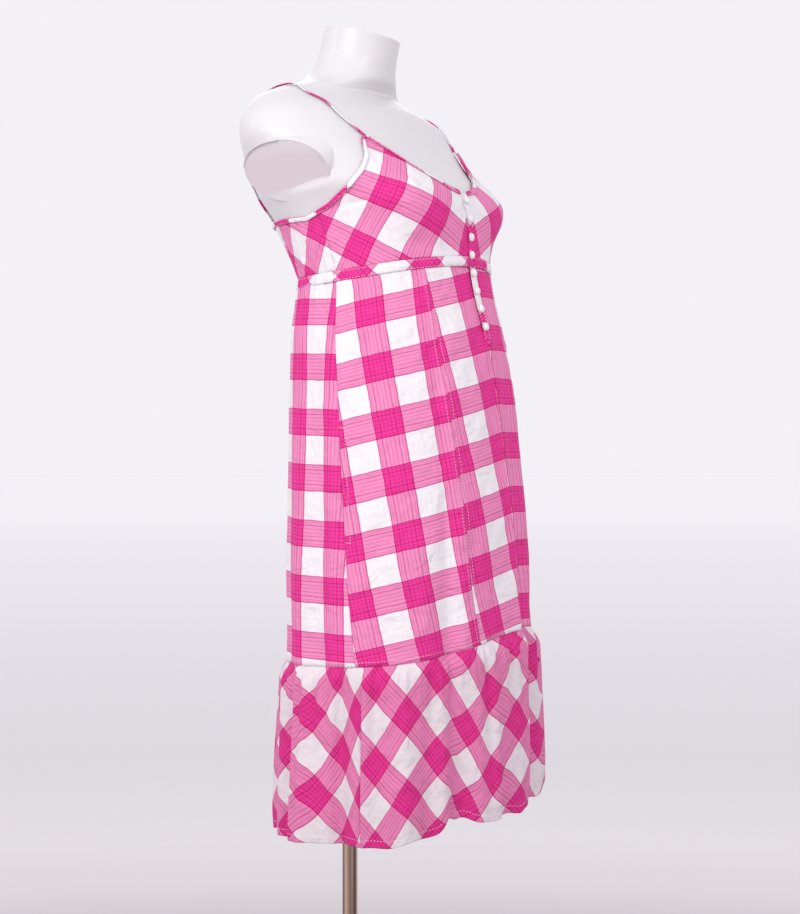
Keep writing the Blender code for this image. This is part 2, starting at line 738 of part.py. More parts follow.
def build_stand(steel):
    floor = BASE_THICK + SEAM_GAP
    top = FORM["height"][0] - SEAM_GAP
    turned_piece(
        "base_plate",
        steel,
        (
            (0.0, 0.0),
            (BASE_RADIUS - 0.002, 0.0),
            (BASE_RADIUS, 0.002),
            (BASE_RADIUS, BASE_THICK - 0.005),
            (BASE_RADIUS - 0.004, BASE_THICK - 0.0015),
            (BASE_RADIUS - 0.010, BASE_THICK),
            (0.0, BASE_THICK),
        ),
        48,
    )
    turned_piece(
        "pole",
        steel,
        (
            (0.0, floor),
            (COLLAR_RADIUS, floor),
            (COLLAR_RADIUS, floor + COLLAR_TALL - 0.003),
            (COLLAR_RADIUS - 0.003, floor + COLLAR_TALL),
            (POLE_RADIUS, floor + COLLAR_TALL),
            (POLE_RADIUS, top - SOCKET_TALL),
            (SOCKET_RADIUS, top - SOCKET_TALL),
            (SOCKET_RADIUS, top),
            (0.0, top),
        ),
        24,
    )


def main():
    for thing in list(bpy.data.objects):
        bpy.data.objects.remove(thing, do_unlink=True)
    cotton = material("checked_cotton", CHECK_PINK, 0.85)
    bias = material("bias_cotton", BIAS_PINK, 0.85)
    build_bodice(cotton)
    build_bindings(bias)
    build_casing(bias)
    build_skirt(cotton)
    build_flounce(cotton)
    build_pockets(cotton)
    build_placket(bias, material("white_button", BUTTON_WHITE, 0.35))
    build_straps(bias)
    build_form(material("form_shell", FORM_WHITE, 0.45))
    build_stand(material("brushed_steel", STEEL, 0.35, 1.0))


main()
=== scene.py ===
# A checked cotton sundress on its dress form. Metres, +Z up, the wearer's front is -Y.
# Angles run round the body from the centre front (0) to the wearer's right (90) and back (180).
from bisect import bisect_right
from math import cos, exp, pi, radians, sin

import bmesh
import bpy
from mathutils import Matrix, Vector, noise


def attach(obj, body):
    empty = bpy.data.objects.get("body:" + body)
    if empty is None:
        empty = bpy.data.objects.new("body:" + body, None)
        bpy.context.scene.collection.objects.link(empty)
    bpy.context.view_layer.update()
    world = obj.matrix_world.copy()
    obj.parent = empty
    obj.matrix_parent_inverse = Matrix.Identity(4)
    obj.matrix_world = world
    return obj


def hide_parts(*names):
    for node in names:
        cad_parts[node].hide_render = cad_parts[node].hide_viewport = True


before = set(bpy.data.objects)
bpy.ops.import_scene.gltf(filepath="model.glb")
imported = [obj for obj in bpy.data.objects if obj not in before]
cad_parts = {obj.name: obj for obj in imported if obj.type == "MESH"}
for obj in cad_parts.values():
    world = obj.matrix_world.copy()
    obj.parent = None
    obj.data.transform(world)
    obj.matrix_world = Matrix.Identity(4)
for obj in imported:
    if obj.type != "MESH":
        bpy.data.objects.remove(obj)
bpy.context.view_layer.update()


# the sizes that the whole dress is cut and hung by
dress = dict(
    cloth=0.0010,
    seamGap=0.0003,
    closeSeam=0.00006,  # what is left open where two panels are sewn together
    tuck=0.0014,  # how far a panel's edge runs in under the casing
    clothThick=0.0012,
    underCloth=0.0015,
    casingLow=1.155,
    casingRise=0.025,
    casingTall=0.0128,
    skirtSeam=0.702,
    skirtSeamRise=0.040,
    hem=0.4955,
    hemRise=0.036,
    liftedAt=-20.0,
    sideSeam=89.0,
    apex=35.0,
    backGathers=14,
    backGatherDeep=0.0014,
)


bodyMiddle = Vector((0, -0.07, 0))
bodiceRadius = 0.14  # a body this thick turns an angle into a distance on the bodice
skirtRadius = 0.15


def table(columns, *rows):
    return {name: [row[i] for row in rows] for i, name in enumerate(columns.split())}


formRows = table(
    "height  wide   front  back   forward",
    (0.7950, 0.1180, 0.0940, 0.1060, 0.0755),
    (0.8010, 0.1250, 0.0990, 0.1080, 0.0765),
    (0.8150, 0.1310, 0.1030, 0.1100, 0.0775),
    (0.8450, 0.1380, 0.1080, 0.1120, 0.0780),
    (0.9000, 0.1455, 0.1120, 0.1180, 0.0780),
    (0.9500, 0.1430, 0.1110, 0.1150, 0.0750),
    (1.0100, 0.1300, 0.1030, 0.1030, 0.0690),
    (1.0700, 0.1190, 0.0950, 0.0940, 0.0630),
    (1.1200, 0.1220, 0.0980, 0.0980, 0.0640),
    (1.1650, 0.1310, 0.1060, 0.1065, 0.0660),
    (1.2000, 0.1370, 0.1110, 0.1150, 0.0600),
    (1.2400, 0.1430, 0.1220, 0.1260, 0.0460),
    (1.2700, 0.1560, 0.1250, 0.1320, 0.0330),
    (1.3000, 0.1670, 0.1170, 0.1250, 0.0170),
    (1.3300, 0.1840, 0.1060, 0.1080, 0.0030),
    (1.3500, 0.1840, 0.1000, 0.0990, -0.0050),
    (1.3650, 0.1770, 0.0920, 0.0945, -0.0080),
    (1.3780, 0.1620, 0.0810, 0.0855, -0.0130),
    (1.3900, 0.1430, 0.0620, 0.0710, -0.0200),
    (1.4000, 0.1190, 0.0480, 0.0620, -0.0160),
    (1.4080, 0.0910, 0.0490, 0.0620, -0.0070),
    (1.4150, 0.0700, 0.0530, 0.0605, -0.0010),
    (1.4280, 0.0560, 0.0500, 0.0565, 0.0060),
    (1.4500, 0.0475, 0.0490, 0.0530, 0.0130),
    (1.5100, 0.0475, 0.0495, 0.0510, 0.0280),
)
skirtRows = table(
    "height  wide   front  back   forward turn   princess",
    (0.6900, 0.1720, 0.1425, 0.1390, 0.0860, 12.5, 27.5),
    (0.7350, 0.1700, 0.1420, 0.1375, 0.0850, 10.0, 28.5),
    (0.8100, 0.1680, 0.1410, 0.1390, 0.0840, 7.0, 30.2),
    (0.8800, 0.1640, 0.1390, 0.1370, 0.0825, 5.5, 31.0),
    (0.9500, 0.1600, 0.1350, 0.1340, 0.0795, 4.0, 32.0),
    (1.0200, 0.1555, 0.1320, 0.1300, 0.0760, 2.5, 33.3),
    (1.1000, 0.1470, 0.1235, 0.1230, 0.0705, 1.0, 34.2),
    (1.1500, 0.1375, 0.1140, 0.1135, 0.0675, 0.2, 34.4),
    (1.1850, 0.1370, 0.1110, 0.1125, 0.0640, 0.0, 34.4),
)
# Where each fold of the skirt runs, its width in degrees, and how far it stands out
skirtFolds = table(
    "top   low   wide  outTop  outHalf outLow",
    (35, 34, 5.0, 0.0, -0.001, -0.0110),
    (28, 27, 5.0, 0.0, 0.001, 0.0040),
    (-3, -9, 3.4, 0.001, 0.003, 0.0050),
    (-10, -17, 4.2, 0.0, -0.003, -0.0080),
    (3, 8, 8.0, -0.0008, -0.002, -0.0025),
    (56, 52, 8.0, 0.0, 0.001, 0.0030),
    (70, 66, 6.0, 0.0, -0.001, -0.0030),
    (101, 97, 5.0, -0.001, -0.003, -0.0050),
    (118, 114, 6.0, 0.001, 0.002, 0.0040),
    (134, 131, 5.0, -0.001, -0.002, -0.0050),
    (160, 157, 6.0, 0.0, 0.002, 0.0050),
    (178, 174, 6.0, -0.001, -0.003, -0.0060),
    (200, 194, 6.5, 0.0, 0.002, 0.0050),
    (222, 217, 5.0, -0.001, -0.002, -0.0050),
    (250, 243, 6.0, 0.001, 0.002, 0.0050),
    (275, 268, 6.0, 0.0, -0.002, -0.0050),
    (296, 290, 6.5, 0.0, 0.002, 0.0060),
    (322, 316, 5.0, 0.0, -0.001, -0.0060),
    (338, 331, 6.0, 0.0, 0.002, 0.0040),
)
flounceRows = table(
    "drop  spread",
    (0.00, 0.0000),
    (0.07, 0.0065),
    (0.18, 0.0080),
    (0.40, 0.0095),
    (0.65, 0.0115),
    (0.88, 0.0120),
    (1.00, 0.0100),
)
flounceFolds = table(
    "at  wide  seam    hem     lift",
    (-34, 5.0, 0.003, 0.0060, 0.020),
    (-17, 5.0, -0.004, -0.0110, 0.012),
    (-3, 5.5, 0.003, 0.0080, -0.006),
    (12, 4.5, 0.001, 0.0090, -0.003),
    (26, 4.0, -0.002, -0.0120, 0.010),
    (33, 3.6, 0.003, 0.0020, 0.014),
    (43, 4.5, -0.004, -0.0100, -0.002),
    (60, 8.0, 0.002, 0.0060, -0.006),
    (72, 5.0, 0.003, 0.0060, -0.002),
    (82, 5.5, -0.006, -0.0130, 0.0),
    (104, 7.5, 0.005, 0.0130, 0.0),
    (115.5, 4.4, -0.006, -0.0140, 0.0),
    (127, 6.0, 0.003, 0.0080, 0.0),
    (138, 4.5, -0.003, -0.0060, 0.003),
    (147, 5.5, 0.002, 0.0070, 0.0),
    (164, 5.0, -0.003, -0.0100, 0.002),
    (180, 6.0, 0.002, 0.0090, -0.002),
    (197, 5.0, -0.002, -0.0080, 0.002),
    (214, 6.0, 0.003, 0.0080, 0.0),
    (231, 5.0, -0.003, -0.0110, 0.002),
    (248, 6.0, 0.002, 0.0080, -0.002),
    (265, 4.8, -0.003, -0.0090, 0.0),
    (282, 6.0, 0.002, 0.0090, 0.0),
    (301, 5.0, -0.003, -0.0090, 0.003),
)
topEdgeRows = table(
    "angle  height",
    (0.0, 1.2690),
    (10.0, 1.2750),
    (20.0, 1.2910),
    (28.0, 1.3130),
    (33.0, 1.3310),
    (35.0, 1.3340),
    (37.0, 1.3305),
    (43.0, 1.3095),
    (52.0, 1.2900),
    (64.0, 1.2715),
    (80.0, 1.2515),
    (96.0, 1.2385),
    (130.0, 1.2385),
    (180.0, 1.2390),
)


# reading the tables
def smooth(rows, column, at):
    keys = next(iter(rows.values()))
    values = rows[column]
    last = len(keys) - 1
    at = min(max(at, keys[0]), keys[last])
    i = min(bisect_right(keys, at), last)
    run = keys[i] - keys[i - 1]
    t = (at - keys[i - 1]) / run
    before, after = max(i - 2, 0), min(i + 1, last)
    slopeIn = (values[i] - values[before]) / (keys[i] - keys[before]) * run
    slopeOut = (values[after] - values[i - 1]) / (keys[after] - keys[i - 1]) * run
    blend = t * t * (3 - 2 * t)
    eased = values[i - 1] * (1 - blend) + values[i] * blend
    return eased + slopeIn * t * (1 - t) ** 2 - slopeOut * t * t * (1 - t)


def straight(rows, column, at):
    keys = next(iter(rows.values()))
    i = min(max(bisect_right(keys, at), 1), len(keys) - 1)
    t = (at - keys[i - 1]) / (keys[i] - keys[i - 1])
    return rows[column][i - 1] * (1 - t) + rows[column][i] * t


def turned(angle):
    return (angle + 180) % 360 - 180


def hump(distance, wide):
    return exp(-((distance / wide) ** 2))


def ease(t):
    t = min(max(t, 0.0), 1.0)
    return t * t * (3 - 2 * t)


def spread(start, end, t):
    return start + (end - start) * t


def casingLow(angle):
    return dress["casingLow"] + dress["casingRise"] * ((1 + cos(radians(angle))) / 2) ** 2.5


def skirtSeam(angle):
    lifted = ((1 + cos(radians(angle - 10.0 - dress["liftedAt"]))) / 2) ** 4
    return dress["skirtSeam"] + dress["skirtSeamRise"] * lifted


def hemHeight(angle):
    return dress["hem"] + dress["hemRise"] * ((1 + cos(radians(angle - dress["liftedAt"]))) / 2) ** 4


def topEdge(angle):
    return straight(topEdgeRows, "height", abs(turned(angle)))


# the surfaces
def section(rows, angle, height, out=0.0):
    wide = smooth(rows, "wide", height)
    deep = smooth(rows, "front" if cos(radians(angle)) > 0 else "back", height)
    forward = smooth(rows, "forward", height)
    side, ahead = sin(radians(angle)), cos(radians(angle))
    return Vector((-(wide + out) * side, -forward - (deep + out) * ahead, height))


swells = (
    dict(angle=36.0, across=21.0, height=1.2570, tall=0.0380, deep=0.0225),
    dict(angle=0.0, across=38.0, height=1.3930, tall=0.0120, deep=0.0130),
    dict(angle=74.0, across=19.0, height=1.2860, tall=0.0180, deep=0.0080),
)


def formPoint(angle, height):
    out = 0.0
    for swell in swells:
        roundIt = hump(abs(turned(angle)) - swell["angle"], swell["across"])
        out += swell["deep"] * roundIt * hump(height - swell["height"], swell["tall"])
    return section(formRows, angle, height, out)


def backGather(angle, height):
    across = ease((abs(turned(angle)) - dress["sideSeam"]) / 12)
    near = hump(height - casingLow(angle), 0.075)
    return dress["backGatherDeep"] * across * near * cos(radians(angle) * dress["backGathers"] * 2)


def normalOf(surface, first, second, across=0.35, along=0.0005, level=False):
    right = surface(first + across, second) - surface(first - across, second)
    up = surface(first, second + along) - surface(first, second - along)
    out = up.cross(right) * (-1 if along < 0 else 1)
    if level:
        out.z = 0
    return out.normalized()


def bodicePoint(angle, height, out=0.0):
    gather = dress["backGatherDeep"] * 0.5 + backGather(angle, height) * 0.5
    rest = dress["underCloth"] + dress["clothThick"] + gather
    return formPoint(angle, height) + normalOf(formPoint, angle, height) * (rest + out)


def skirtPoint(angle, height, out=0.0):
    angle -= smooth(skirtRows, "turn", height)
    fall = min(max((dress["casingLow"] - height) / (dress["casingLow"] - dress["skirtSeam"]), 0.0), 1.0)
    out += backGather(angle, height)
    for top, low, wide, outTop, outHalf, outLow in zip(*skirtFolds.values()):
        away = turned(angle - top - (low - top) * fall)
        if abs(away) < wide * 3:
            if fall < 0.5:
                deep = outTop + (outHalf - outTop) * fall * 2
            else:
                deep = outHalf + (outLow - outHalf) * (fall * 2 - 1)
            out += deep * hump(away, wide)
    return section(skirtRows, angle, height, out)


def flouncePoint(angle, drop, out=0.0):
    swung = angle - smooth(skirtRows, "turn", skirtSeam(angle)) - 2.0 * drop
    gather = cos(radians(angle) * 44 + 1.3 * sin(radians(angle) * 3))
    out += smooth(flounceRows, "spread", drop)
    out += 0.0016 * gather * ease(drop * 9) * (1 - 0.75 * ease(drop * 1.6))
    lift = 0.0
    for at, wide, seam, hem, rise in zip(*flounceFolds.values()):
        here = hump(turned(swung - at), wide)
        out += here * (seam * ease(drop * 9) * (1 - drop) + hem * drop)
        lift += here * rise
    start = skirtPoint(angle, skirtSeam(angle))
    height = start.z + (hemHeight(swung) + lift - start.z) * drop
    flare = radians(swung)
    return Vector((start.x - out * sin(flare), start.y - out * cos(flare), height))


# creases: soft troughs (below zero) and ridges, each from one spot to another
def creaseDepth(creases, angle, height, radius=skirtRadius):
    x = radians(turned(angle)) * radius
    total = 0.0
    for angle0, height0, angle1, height1, wide, deep in creases:
        x0, x1 = radians(angle0) * radius, radians(angle1) * radius
        runX, runZ = x1 - x0, height1 - height0
        length = (runX * runX + runZ * runZ) ** 0.5
        t = ((x - x0) * runX + (height - height0) * runZ) / length**2
        if -0.2 < t < 1.2:
            away = ((x - x0) * runZ - (height - height0) * runX) / length
            if abs(away) < wide * 3:
                total += deep * hump(away, wide) * ease(t * 3 + 0.2) * ease((1 - t) * 3 + 0.2)
    return total


def ripple(seed, across, along, fine=1.0):
    return noise.noise(Vector((across * fine, along * fine, seed)))


# shader sums: a socket with arithmetic, and any other node by its type
class Strand:
    def __init__(self, tree, socket=None):
        self.tree, self.socket = tree, socket

    def node(self, kind, settings=None, values=None, result=0):
        made = self.tree.nodes.new("ShaderNode" + kind)
        for key, value in (settings or {}).items():
            if key == "stops":
                ramp = made.color_ramp
                while len(ramp.elements) < len(value):
                    ramp.elements.new(1.0)
                for element, (place, shade) in zip(ramp.elements, value):
                    element.position = place
                    element.color = (*shade, 1) if hasattr(shade, "__len__") else (shade, shade, shade, 1)
            else:
                setattr(made, key, value)
        for key, value in (values or {}).items():
            if isinstance(value, Strand):
                self.tree.links.new(value.socket, made.inputs[key])
            else:
                made.inputs[key].default_value = value
        return Strand(self.tree, made.outputs[result])

    def math(self, operation, first, second=0.0):
        return self.node("Math", {"operation": operation}, {0: first, 1: second})

    def __add__(self, other):
        return self.math("ADD", self, other)

    def __radd__(self, other):
        return self.math("ADD", other, self)

    def __sub__(self, other):
        return self.math("SUBTRACT", self, other)

    def __rsub__(self, other):
        return self.math("SUBTRACT", other, self)

    def __mul__(self, other):
        return self.math("MULTIPLY", self, other)

    def __rmul__(self, other):
        return self.math("MULTIPLY", other, self)

    def __truediv__(self, other):
        return self.math("DIVIDE", self, other)

    def fract(self):
        return self.math("FRACT", self)

    def sine(self):
        return self.math("SINE", self)

    def larger(self, other):
        return self.math("MAXIMUM", self, other)

    def within(self, low, high):
        return self.node("MapRange", {"clamp": True}, {0: self, 1: low, 2: high})

    def mix(self, share, first, second, way="MIX"):
        settings = {"data_type": "RGBA", "blend_type": way}
        return self.node("Mix", settings, {0: share, 6: first, 7: second}, result=2)


def newMaterial(name):
    made = bpy.data.materials.new(name)
    made.use_nodes = True
    tree = made.node_tree
    shader = tree.nodes["Principled BSDF"]
    return made, Strand(tree), shader


def feed(start, shader, values):
    for name, value in values.items():
        if isinstance(value, Strand):
            start.tree.links.new(value.socket, shader.inputs[name])
        else:
            shader.inputs[name].default_value = value


check = dict(
    repeat=0.0665,
    band=0.0326,
    ground=(0.790, 0.752, 0.776, 1),
    single=(0.780, 0.250, 0.470, 1),
    crossing=(0.765, 0.044, 0.300, 1),
    lineTint=(0.60, 0.20, 0.34, 1),
    # across a coloured band: where each dark line lies, how wide it is, in metres, and how dark
    lines=((0.0008, 0.0016, 1.0), (0.0034, 0.0010, 0.5), (0.0068, 0.0016, 0.9), (0.0112, 0.0012, 0.65),
           (0.0155, 0.0011, 0.5), (0.0198, 0.0013, 0.65), (0.0245, 0.0017, 0.9), (0.0288, 0.0010, 0.55),
           (0.0317, 0.0017, 1.0)),
)


def checkedCotton(name, shade=(1.0, 1.0, 1.0)):
    made, start, shader = newMaterial(name)
    flat = start.node("UVMap", {"uv_map": "flatCut"})
    parts = start.tree.nodes.new("ShaderNodeSeparateXYZ")
    start.tree.links.new(flat.socket, parts.inputs[0])
    across, down = Strand(start.tree, parts.outputs[0]), Strand(start.tree, parts.outputs[1])
    wander = start.node("TexNoise", {}, {"Vector": flat, "Scale": 55.0, "Detail": 2.0})
    wander = (wander - 0.5) * 0.0022

    def bandAndLines(place):
        cell = ((place + wander) / check["repeat"]).fract()
        share = check["band"] / check["repeat"]
        soft = 0.0003 / check["repeat"]
        band = cell.within(0.0, soft) * (1.0 - cell.within(share, share + soft))
        stops = [(0.0, 0.0)]
        for middle, wide, dark in check["lines"]:
            low, high = (middle - wide / 2) / check["repeat"], (middle + wide / 2) / check["repeat"]
            stops += [(max(low - 0.004, 0.0001), 0.0), (middle / check["repeat"], dark), (high + 0.004, 0.0)]
        lines = start.node("ValToRGB", {"stops": stops}, {0: cell})
        return band, lines

    bandA, linesA = bandAndLines(across)
    bandB, linesB = bandAndLines(down)
    slubA = start.node("CombineXYZ", {}, {0: across * 900.0, 1: down * 26.0})
    slubB = start.node("CombineXYZ", {}, {0: across * 26.0, 1: down * 900.0})
    yarnA = start.node("TexNoise", {}, {"Vector": slubA, "Scale": 1.0, "Detail": 2.0})
    yarnB = start.node("TexNoise", {}, {"Vector": slubB, "Scale": 1.0, "Detail": 2.0})
    colour = start.mix(bandA.larger(bandB), check["ground"], check["single"])
    colour = start.mix(bandA * bandB, colour, check["crossing"])
    linesA = linesA * yarnB.within(0.15, 0.55)
    linesB = linesB * yarnA.within(0.15, 0.55)
    colour = start.mix(linesA, colour, check["lineTint"], "MULTIPLY")
    colour = start.mix(linesB, colour, check["lineTint"], "MULTIPLY")
    worn = yarnA * 0.5 + yarnB * 0.5
    yarnToneAndShade = start.mix(worn.within(0.36, 0.64), (0.93, 0.925, 0.93, 1), (1.04, 1.04, 1.04, 1))
    # the shade colour is multiplied in here; on the flounce it is painted shade and painted pink bounce light
    yarnToneAndShade = start.mix(1.0, yarnToneAndShade, (*shade, 1), "MULTIPLY")
    colour = start.mix(1.0, colour, yarnToneAndShade, "MULTIPLY")
    weave = (across * (2 * pi / 0.0011)).sine() * (down * (2 * pi / 0.0011)).sine()
    crumple = start.node("TexNoise", {}, {"Vector": flat, "Scale": 95.0, "Detail": 3.0, "Roughness": 0.55})
    wrinkle = start.node("TexNoise", {}, {"Vector": flat, "Scale": 36.0, "Detail": 2.0, "Distortion": 0.6})
    height = weave * 0.00004 + crumple * 0.0016 + wrinkle * 0.0095 + worn * 0.0001
    bump = start.node("Bump", {}, {"Strength": 0.55, "Distance": 1.0, "Height": height})
    feed(start, shader, {
        "Base Color": colour,
        "Roughness": 0.86,
        "Specular IOR Level": 0.14,
        "Sheen Weight": 0.05,
        "Sheen Roughness": 0.45,
        "Normal": bump,
    })
    return made


def plainFinish(name, colour, roughness, grain, scale, deep, **constants):
    made, start, shader = newMaterial(name)
    place = start.node("TexCoord", {}, {}, result="Object")
    spots = start.node("TexNoise", {}, {"Vector": place, "Scale": scale, "Detail": 3.0})
    low = tuple(c * (1 - grain) for c in colour)
    high = tuple(min(c * (1 + grain), 1.0) for c in colour)
    shade = start.mix(spots.within(0.3, 0.7), (*low, 1), (*high, 1))
    bump = start.node("Bump", {}, {"Strength": 0.6, "Distance": 1.0, "Height": spots * deep})
    feed(start, shader, {"Base Color": shade, "Roughness": roughness, "Normal": bump, **constants})
    return made


cotton = checkedCotton("checkedCotton")
biasCotton = checkedCotton("biasCotton")
flounceCotton = checkedCotton("flounceCotton", shade=(0.90, 0.85, 0.865))  # darker and pinker than the other cotton: painted shade and painted pink bounce light
thread = plainFinish("whiteThread", (0.78, 0.75, 0.76), 0.7, 0.06, 900, 0.0002)
loopCotton = plainFinish("whiteLoopCotton", (0.77, 0.75, 0.76), 0.8, 0.05, 700, 0.0004)
pearl = plainFinish("pearlButton", (0.78, 0.77, 0.755), 0.28, 0.03, 260, 0.00005, **{"Coat Weight": 0.4})
print("materials of the cloth are made")


# making a piece of cloth
def addObject(name, mesh):
    data = bpy.data.meshes.new(name)
    mesh.to_mesh(data)
    mesh.free()
    added = bpy.data.objects.new(name, data)
    bpy.context.scene.collection.objects.link(added)
    return added


def spinProfile(mesh, profile, steps, merge):
    corners = [mesh.verts.new((radius, 0.0, height)) for radius, height in profile]
    edges = [mesh.edges.new(pair) for pair in zip(corners, corners[1:])]
    bmesh.ops.spin(
        mesh, geom=corners + edges, cent=(0, 0, 0), axis=(0, 0, 1), angle=2 * pi, steps=steps, use_merge=True,
    )
    bmesh.ops.remove_doubles(mesh, verts=mesh.verts, dist=merge)
    bmesh.ops.recalc_face_normals(mesh, faces=mesh.faces)


def finishPiece(name, mesh, look, replaced=(), sharp=50):
    piece = addObject(name, mesh)
    piece.data.materials.append(look)
    piece.data.shade_smooth()
    if sharp:
        piece.data.set_sharp_from_angle(angle=radians(sharp))
    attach(piece, "root")
    if replaced:
        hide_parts(*replaced)
    return piece


def clothShell(
    name, look, grid, place, pointAt, flatCut, replaced, plain=None, thick=None,
):
    columns, rows = grid
    mesh = bmesh.new()
    bmesh.ops.create_grid(mesh, x_segments=columns, y_segments=rows, size=0.5)
    flat = {}
    ordered = sorted(mesh.verts, key=lambda v: (round(v.co.y * rows * 2), v.co.x))
    lastRow, lastSpot, along = None, None, 0.0
    for corner in ordered:
        across, up = corner.co.x + 0.5, corner.co.y + 0.5
        angle, height = place(across, up)
        spot = (plain or pointAt)(angle, height)
        row = round(up * rows * 2)
        along = 0.0 if row != lastRow else along + (spot - lastSpot).xy.length
        lastRow, lastSpot = row, spot
        flat[corner.index] = flatCut(along, angle, height)
        corner.co = pointAt(angle, height)
    sheet = mesh.loops.layers.uv.new("flatCut")
    for face in mesh.faces:
        for loop in face.loops:
            loop[sheet].uv = flat[loop.vert.index]
    mesh.normal_update()
    outward = sum((face.normal.xy.dot((face.calc_center_median() - bodyMiddle).xy) for face in mesh.faces), 0.0)
    if outward < 0:
        bmesh.ops.reverse_faces(mesh, faces=mesh.faces)
    piece = finishPiece(name, mesh, look, replaced, sharp=None)
    wall = piece.modifiers.new("wall", "SOLIDIFY")
    wall.thickness = thick or dress["cloth"]
    wall.offset = -1.0
    declareSheet(piece, grid)


# the widest row and the longest column of a piece, along its cloth
def cutSize(piece, grid):
    columns, rows = grid
    spots = [corner.co for corner in piece.data.vertices]
    across = [spots[i * (columns + 1):(i + 1) * (columns + 1)] for i in range(rows + 1)]
    return [
        max(sum((after - before).length for before, after in zip(line, line[1:])) for line in lines)
        for lines in (across, list(zip(*across)))
    ]


def declareSheet(piece, grid):
    flat = tuple(max(size, 0.0102) for size in cutSize(piece, grid))
    area = min(sum(face.area for face in piece.data.polygons), flat[0] * flat[1])


def seamInset(radius=bodiceRadius):
    return dress["closeSeam"] / 2 / radius * 180 / pi


def closer(t, much=0.11):  # columns lie closer together near both seams
    return t - much * sin(2 * pi * t)


stitchShape = dict(wide=0.00065, tall=0.0004, gap=0.0012)


def stitchRow(mesh, surface, path, pitch=0.0038, lift=0.0003):
    points = [surface(*spot) for spot in path]
    travelled = [0.0]
    for before, after in zip(points, points[1:]):
        travelled.append(travelled[-1] + (after - before).length)
    count = int(travelled[-1] / pitch)
    for number in range(count):
        ends = []
        for share in (number, number + 1 - stitchShape["gap"] / pitch):
            want = share * pitch
            i = min(max(bisect_right(travelled, want), 1), len(travelled) - 1)
            run = max(travelled[i] - travelled[i - 1], 1e-9)
            t = (want - travelled[i - 1]) / run
            spot = [spread(a, b, t) for a, b in zip(path[i - 1], path[i])]
            ends.append((points[i - 1].lerp(points[i], t), spot))
        start, end = ends[0][0], ends[1][0]
        out = normalOf(surface, *ends[0][1], along=0.0015)
        if out.xy.dot((start - bodyMiddle).xy) < 0:
            out = -out
        way = end - start
        length = way.length
        way.normalize()
        side = out.cross(way).normalized()
        out = way.cross(side)
        middle = (start + end) / 2 + out * lift
        turn = Matrix((way * length, side * stitchShape["wide"], out * stitchShape["tall"])).transposed().to_4x4()
        bmesh.ops.create_icosphere(mesh, subdivisions=1, radius=0.5, matrix=Matrix.Translation(middle) @ turn)


def along(angles, heightAt, step=1.0):
    low, high = angles
    count = max(int(abs(high - low) / step), 2)
    return [(spread(low, high, i / count), heightAt(spread(low, high, i / count))) for i in range(count + 1)]


def downSeam(angleAt, top, bottom, count=60):
    return [(angleAt(spread(top, bottom, i / count)), spread(top, bottom, i / count)) for i in range(count + 1)]


def surfaceFit(terms, s, t):
    one, bySide, byDrop, byBoth, bySide2, byDrop2 = (*terms, 0, 0, 0)[:6]
    return one + bySide * s + byDrop * t + byBoth * s * t + bySide2 * s * s + byDrop2 * t * t


# bodice
bodice = dict(
    frontGrid=(60, 44),
    backGrid=(168, 26),
    # how far the check runs across and down, by the distances from the side seam and from the top
    frontBands=(
        (-0.1948, 1.3424, 1.7398, -3.2654, -0.2229, -3.3231), (0.0013, -0.4091, 0.7574, 0.3101, -0.0804, -0.2856),
    ),
    backBands=((-0.1276, 0.9481, 0.7601), (0.0015, -0.3878, 0.7232)),
    flatTop=1.334,  # its cut is measured down from here, on a body this thick
    flatRadius=0.13,
    # angle and height where each crease starts and ends, its width, and its depth
    creases=(
        (88, 1.243, 70, 1.251, 0.0030, -0.0016),
        (70, 1.251, 56, 1.254, 0.0026, -0.0020),
        (86, 1.238, 66, 1.244, 0.0040, 0.0010),
        (84, 1.215, 72, 1.222, 0.0040, -0.0006),
        (47, 1.318, 52, 1.285, 0.0030, -0.0009),
        (41, 1.322, 43, 1.294, 0.0025, 0.0007),
        (24, 1.200, 14, 1.176, 0.0050, 0.0008),
        (52, 1.196, 44, 1.174, 0.0060, -0.0008),
        (66, 1.200, 64, 1.172, 0.0050, 0.0007),
        (10, 1.252, 22, 1.232, 0.0050, -0.0008),
        (-86, 1.240, -66, 1.249, 0.0030, -0.0017),
        (-66, 1.249, -54, 1.246, 0.0028, -0.0014),
        (-45, 1.316, -50, 1.290, 0.0030, -0.0009),
        (-24, 1.204, -16, 1.174, 0.0050, 0.0008),
        (-55, 1.198, -48, 1.172, 0.0060, -0.0008),
        (-9, 1.250, -20, 1.228, 0.0050, -0.0008),
    ),
)


def bodiceFace(angle, height, out=0.0):
    away = abs(turned(angle))
    out += creaseDepth(bodice["creases"], angle, height)
    across = radians(angle) * bodiceRadius
    out += 0.0006 * ripple(3.1, across * 34, height * 20)
    out += 0.0008 * ripple(13.7, across * 60 - height * 50, height * 60)
    if away > 84:  # the elastic pulls the back into uneven puckers
        pull = ease((away - 84) / 14)
        out += pull * 0.0008 * ripple(7.7, across * 150, height * 22)
        out += pull * 0.0006 * ripple(2.4, across * 260, height * 60)
    toCasing = height - casingLow(angle) - dress["casingTall"]
    pucker = 0.00045 * ripple(5.3, across * 210, height * 9) * hump(toCasing, 0.014)
    toEdge = topEdge(angle) - height
    pucker += 0.0004 * ripple(9.2, across * 240, height * 200) * hump(toEdge, 0.012) * ease((away - 38) / 8)
    pucker -= 0.0012 * ease(0.4 - toCasing / 0.001)
    return bodicePoint(angle, height, out + pucker)


def frontAngle(t):
    inset = seamInset()
    if t < 0.5:
        return spread(inset * 1.2, dress["apex"], t * 2)
    return spread(dress["apex"], dress["sideSeam"] - inset, t * 2 - 1)


def backAngle(t):
    inset = seamInset()
    return spread(dress["sideSeam"] + inset, 360 - dress["sideSeam"] - inset, t)


def bodiceSpot(angle, height):
    return radians(dress["sideSeam"] - angle) * bodice["flatRadius"], bodice["flatTop"] - height


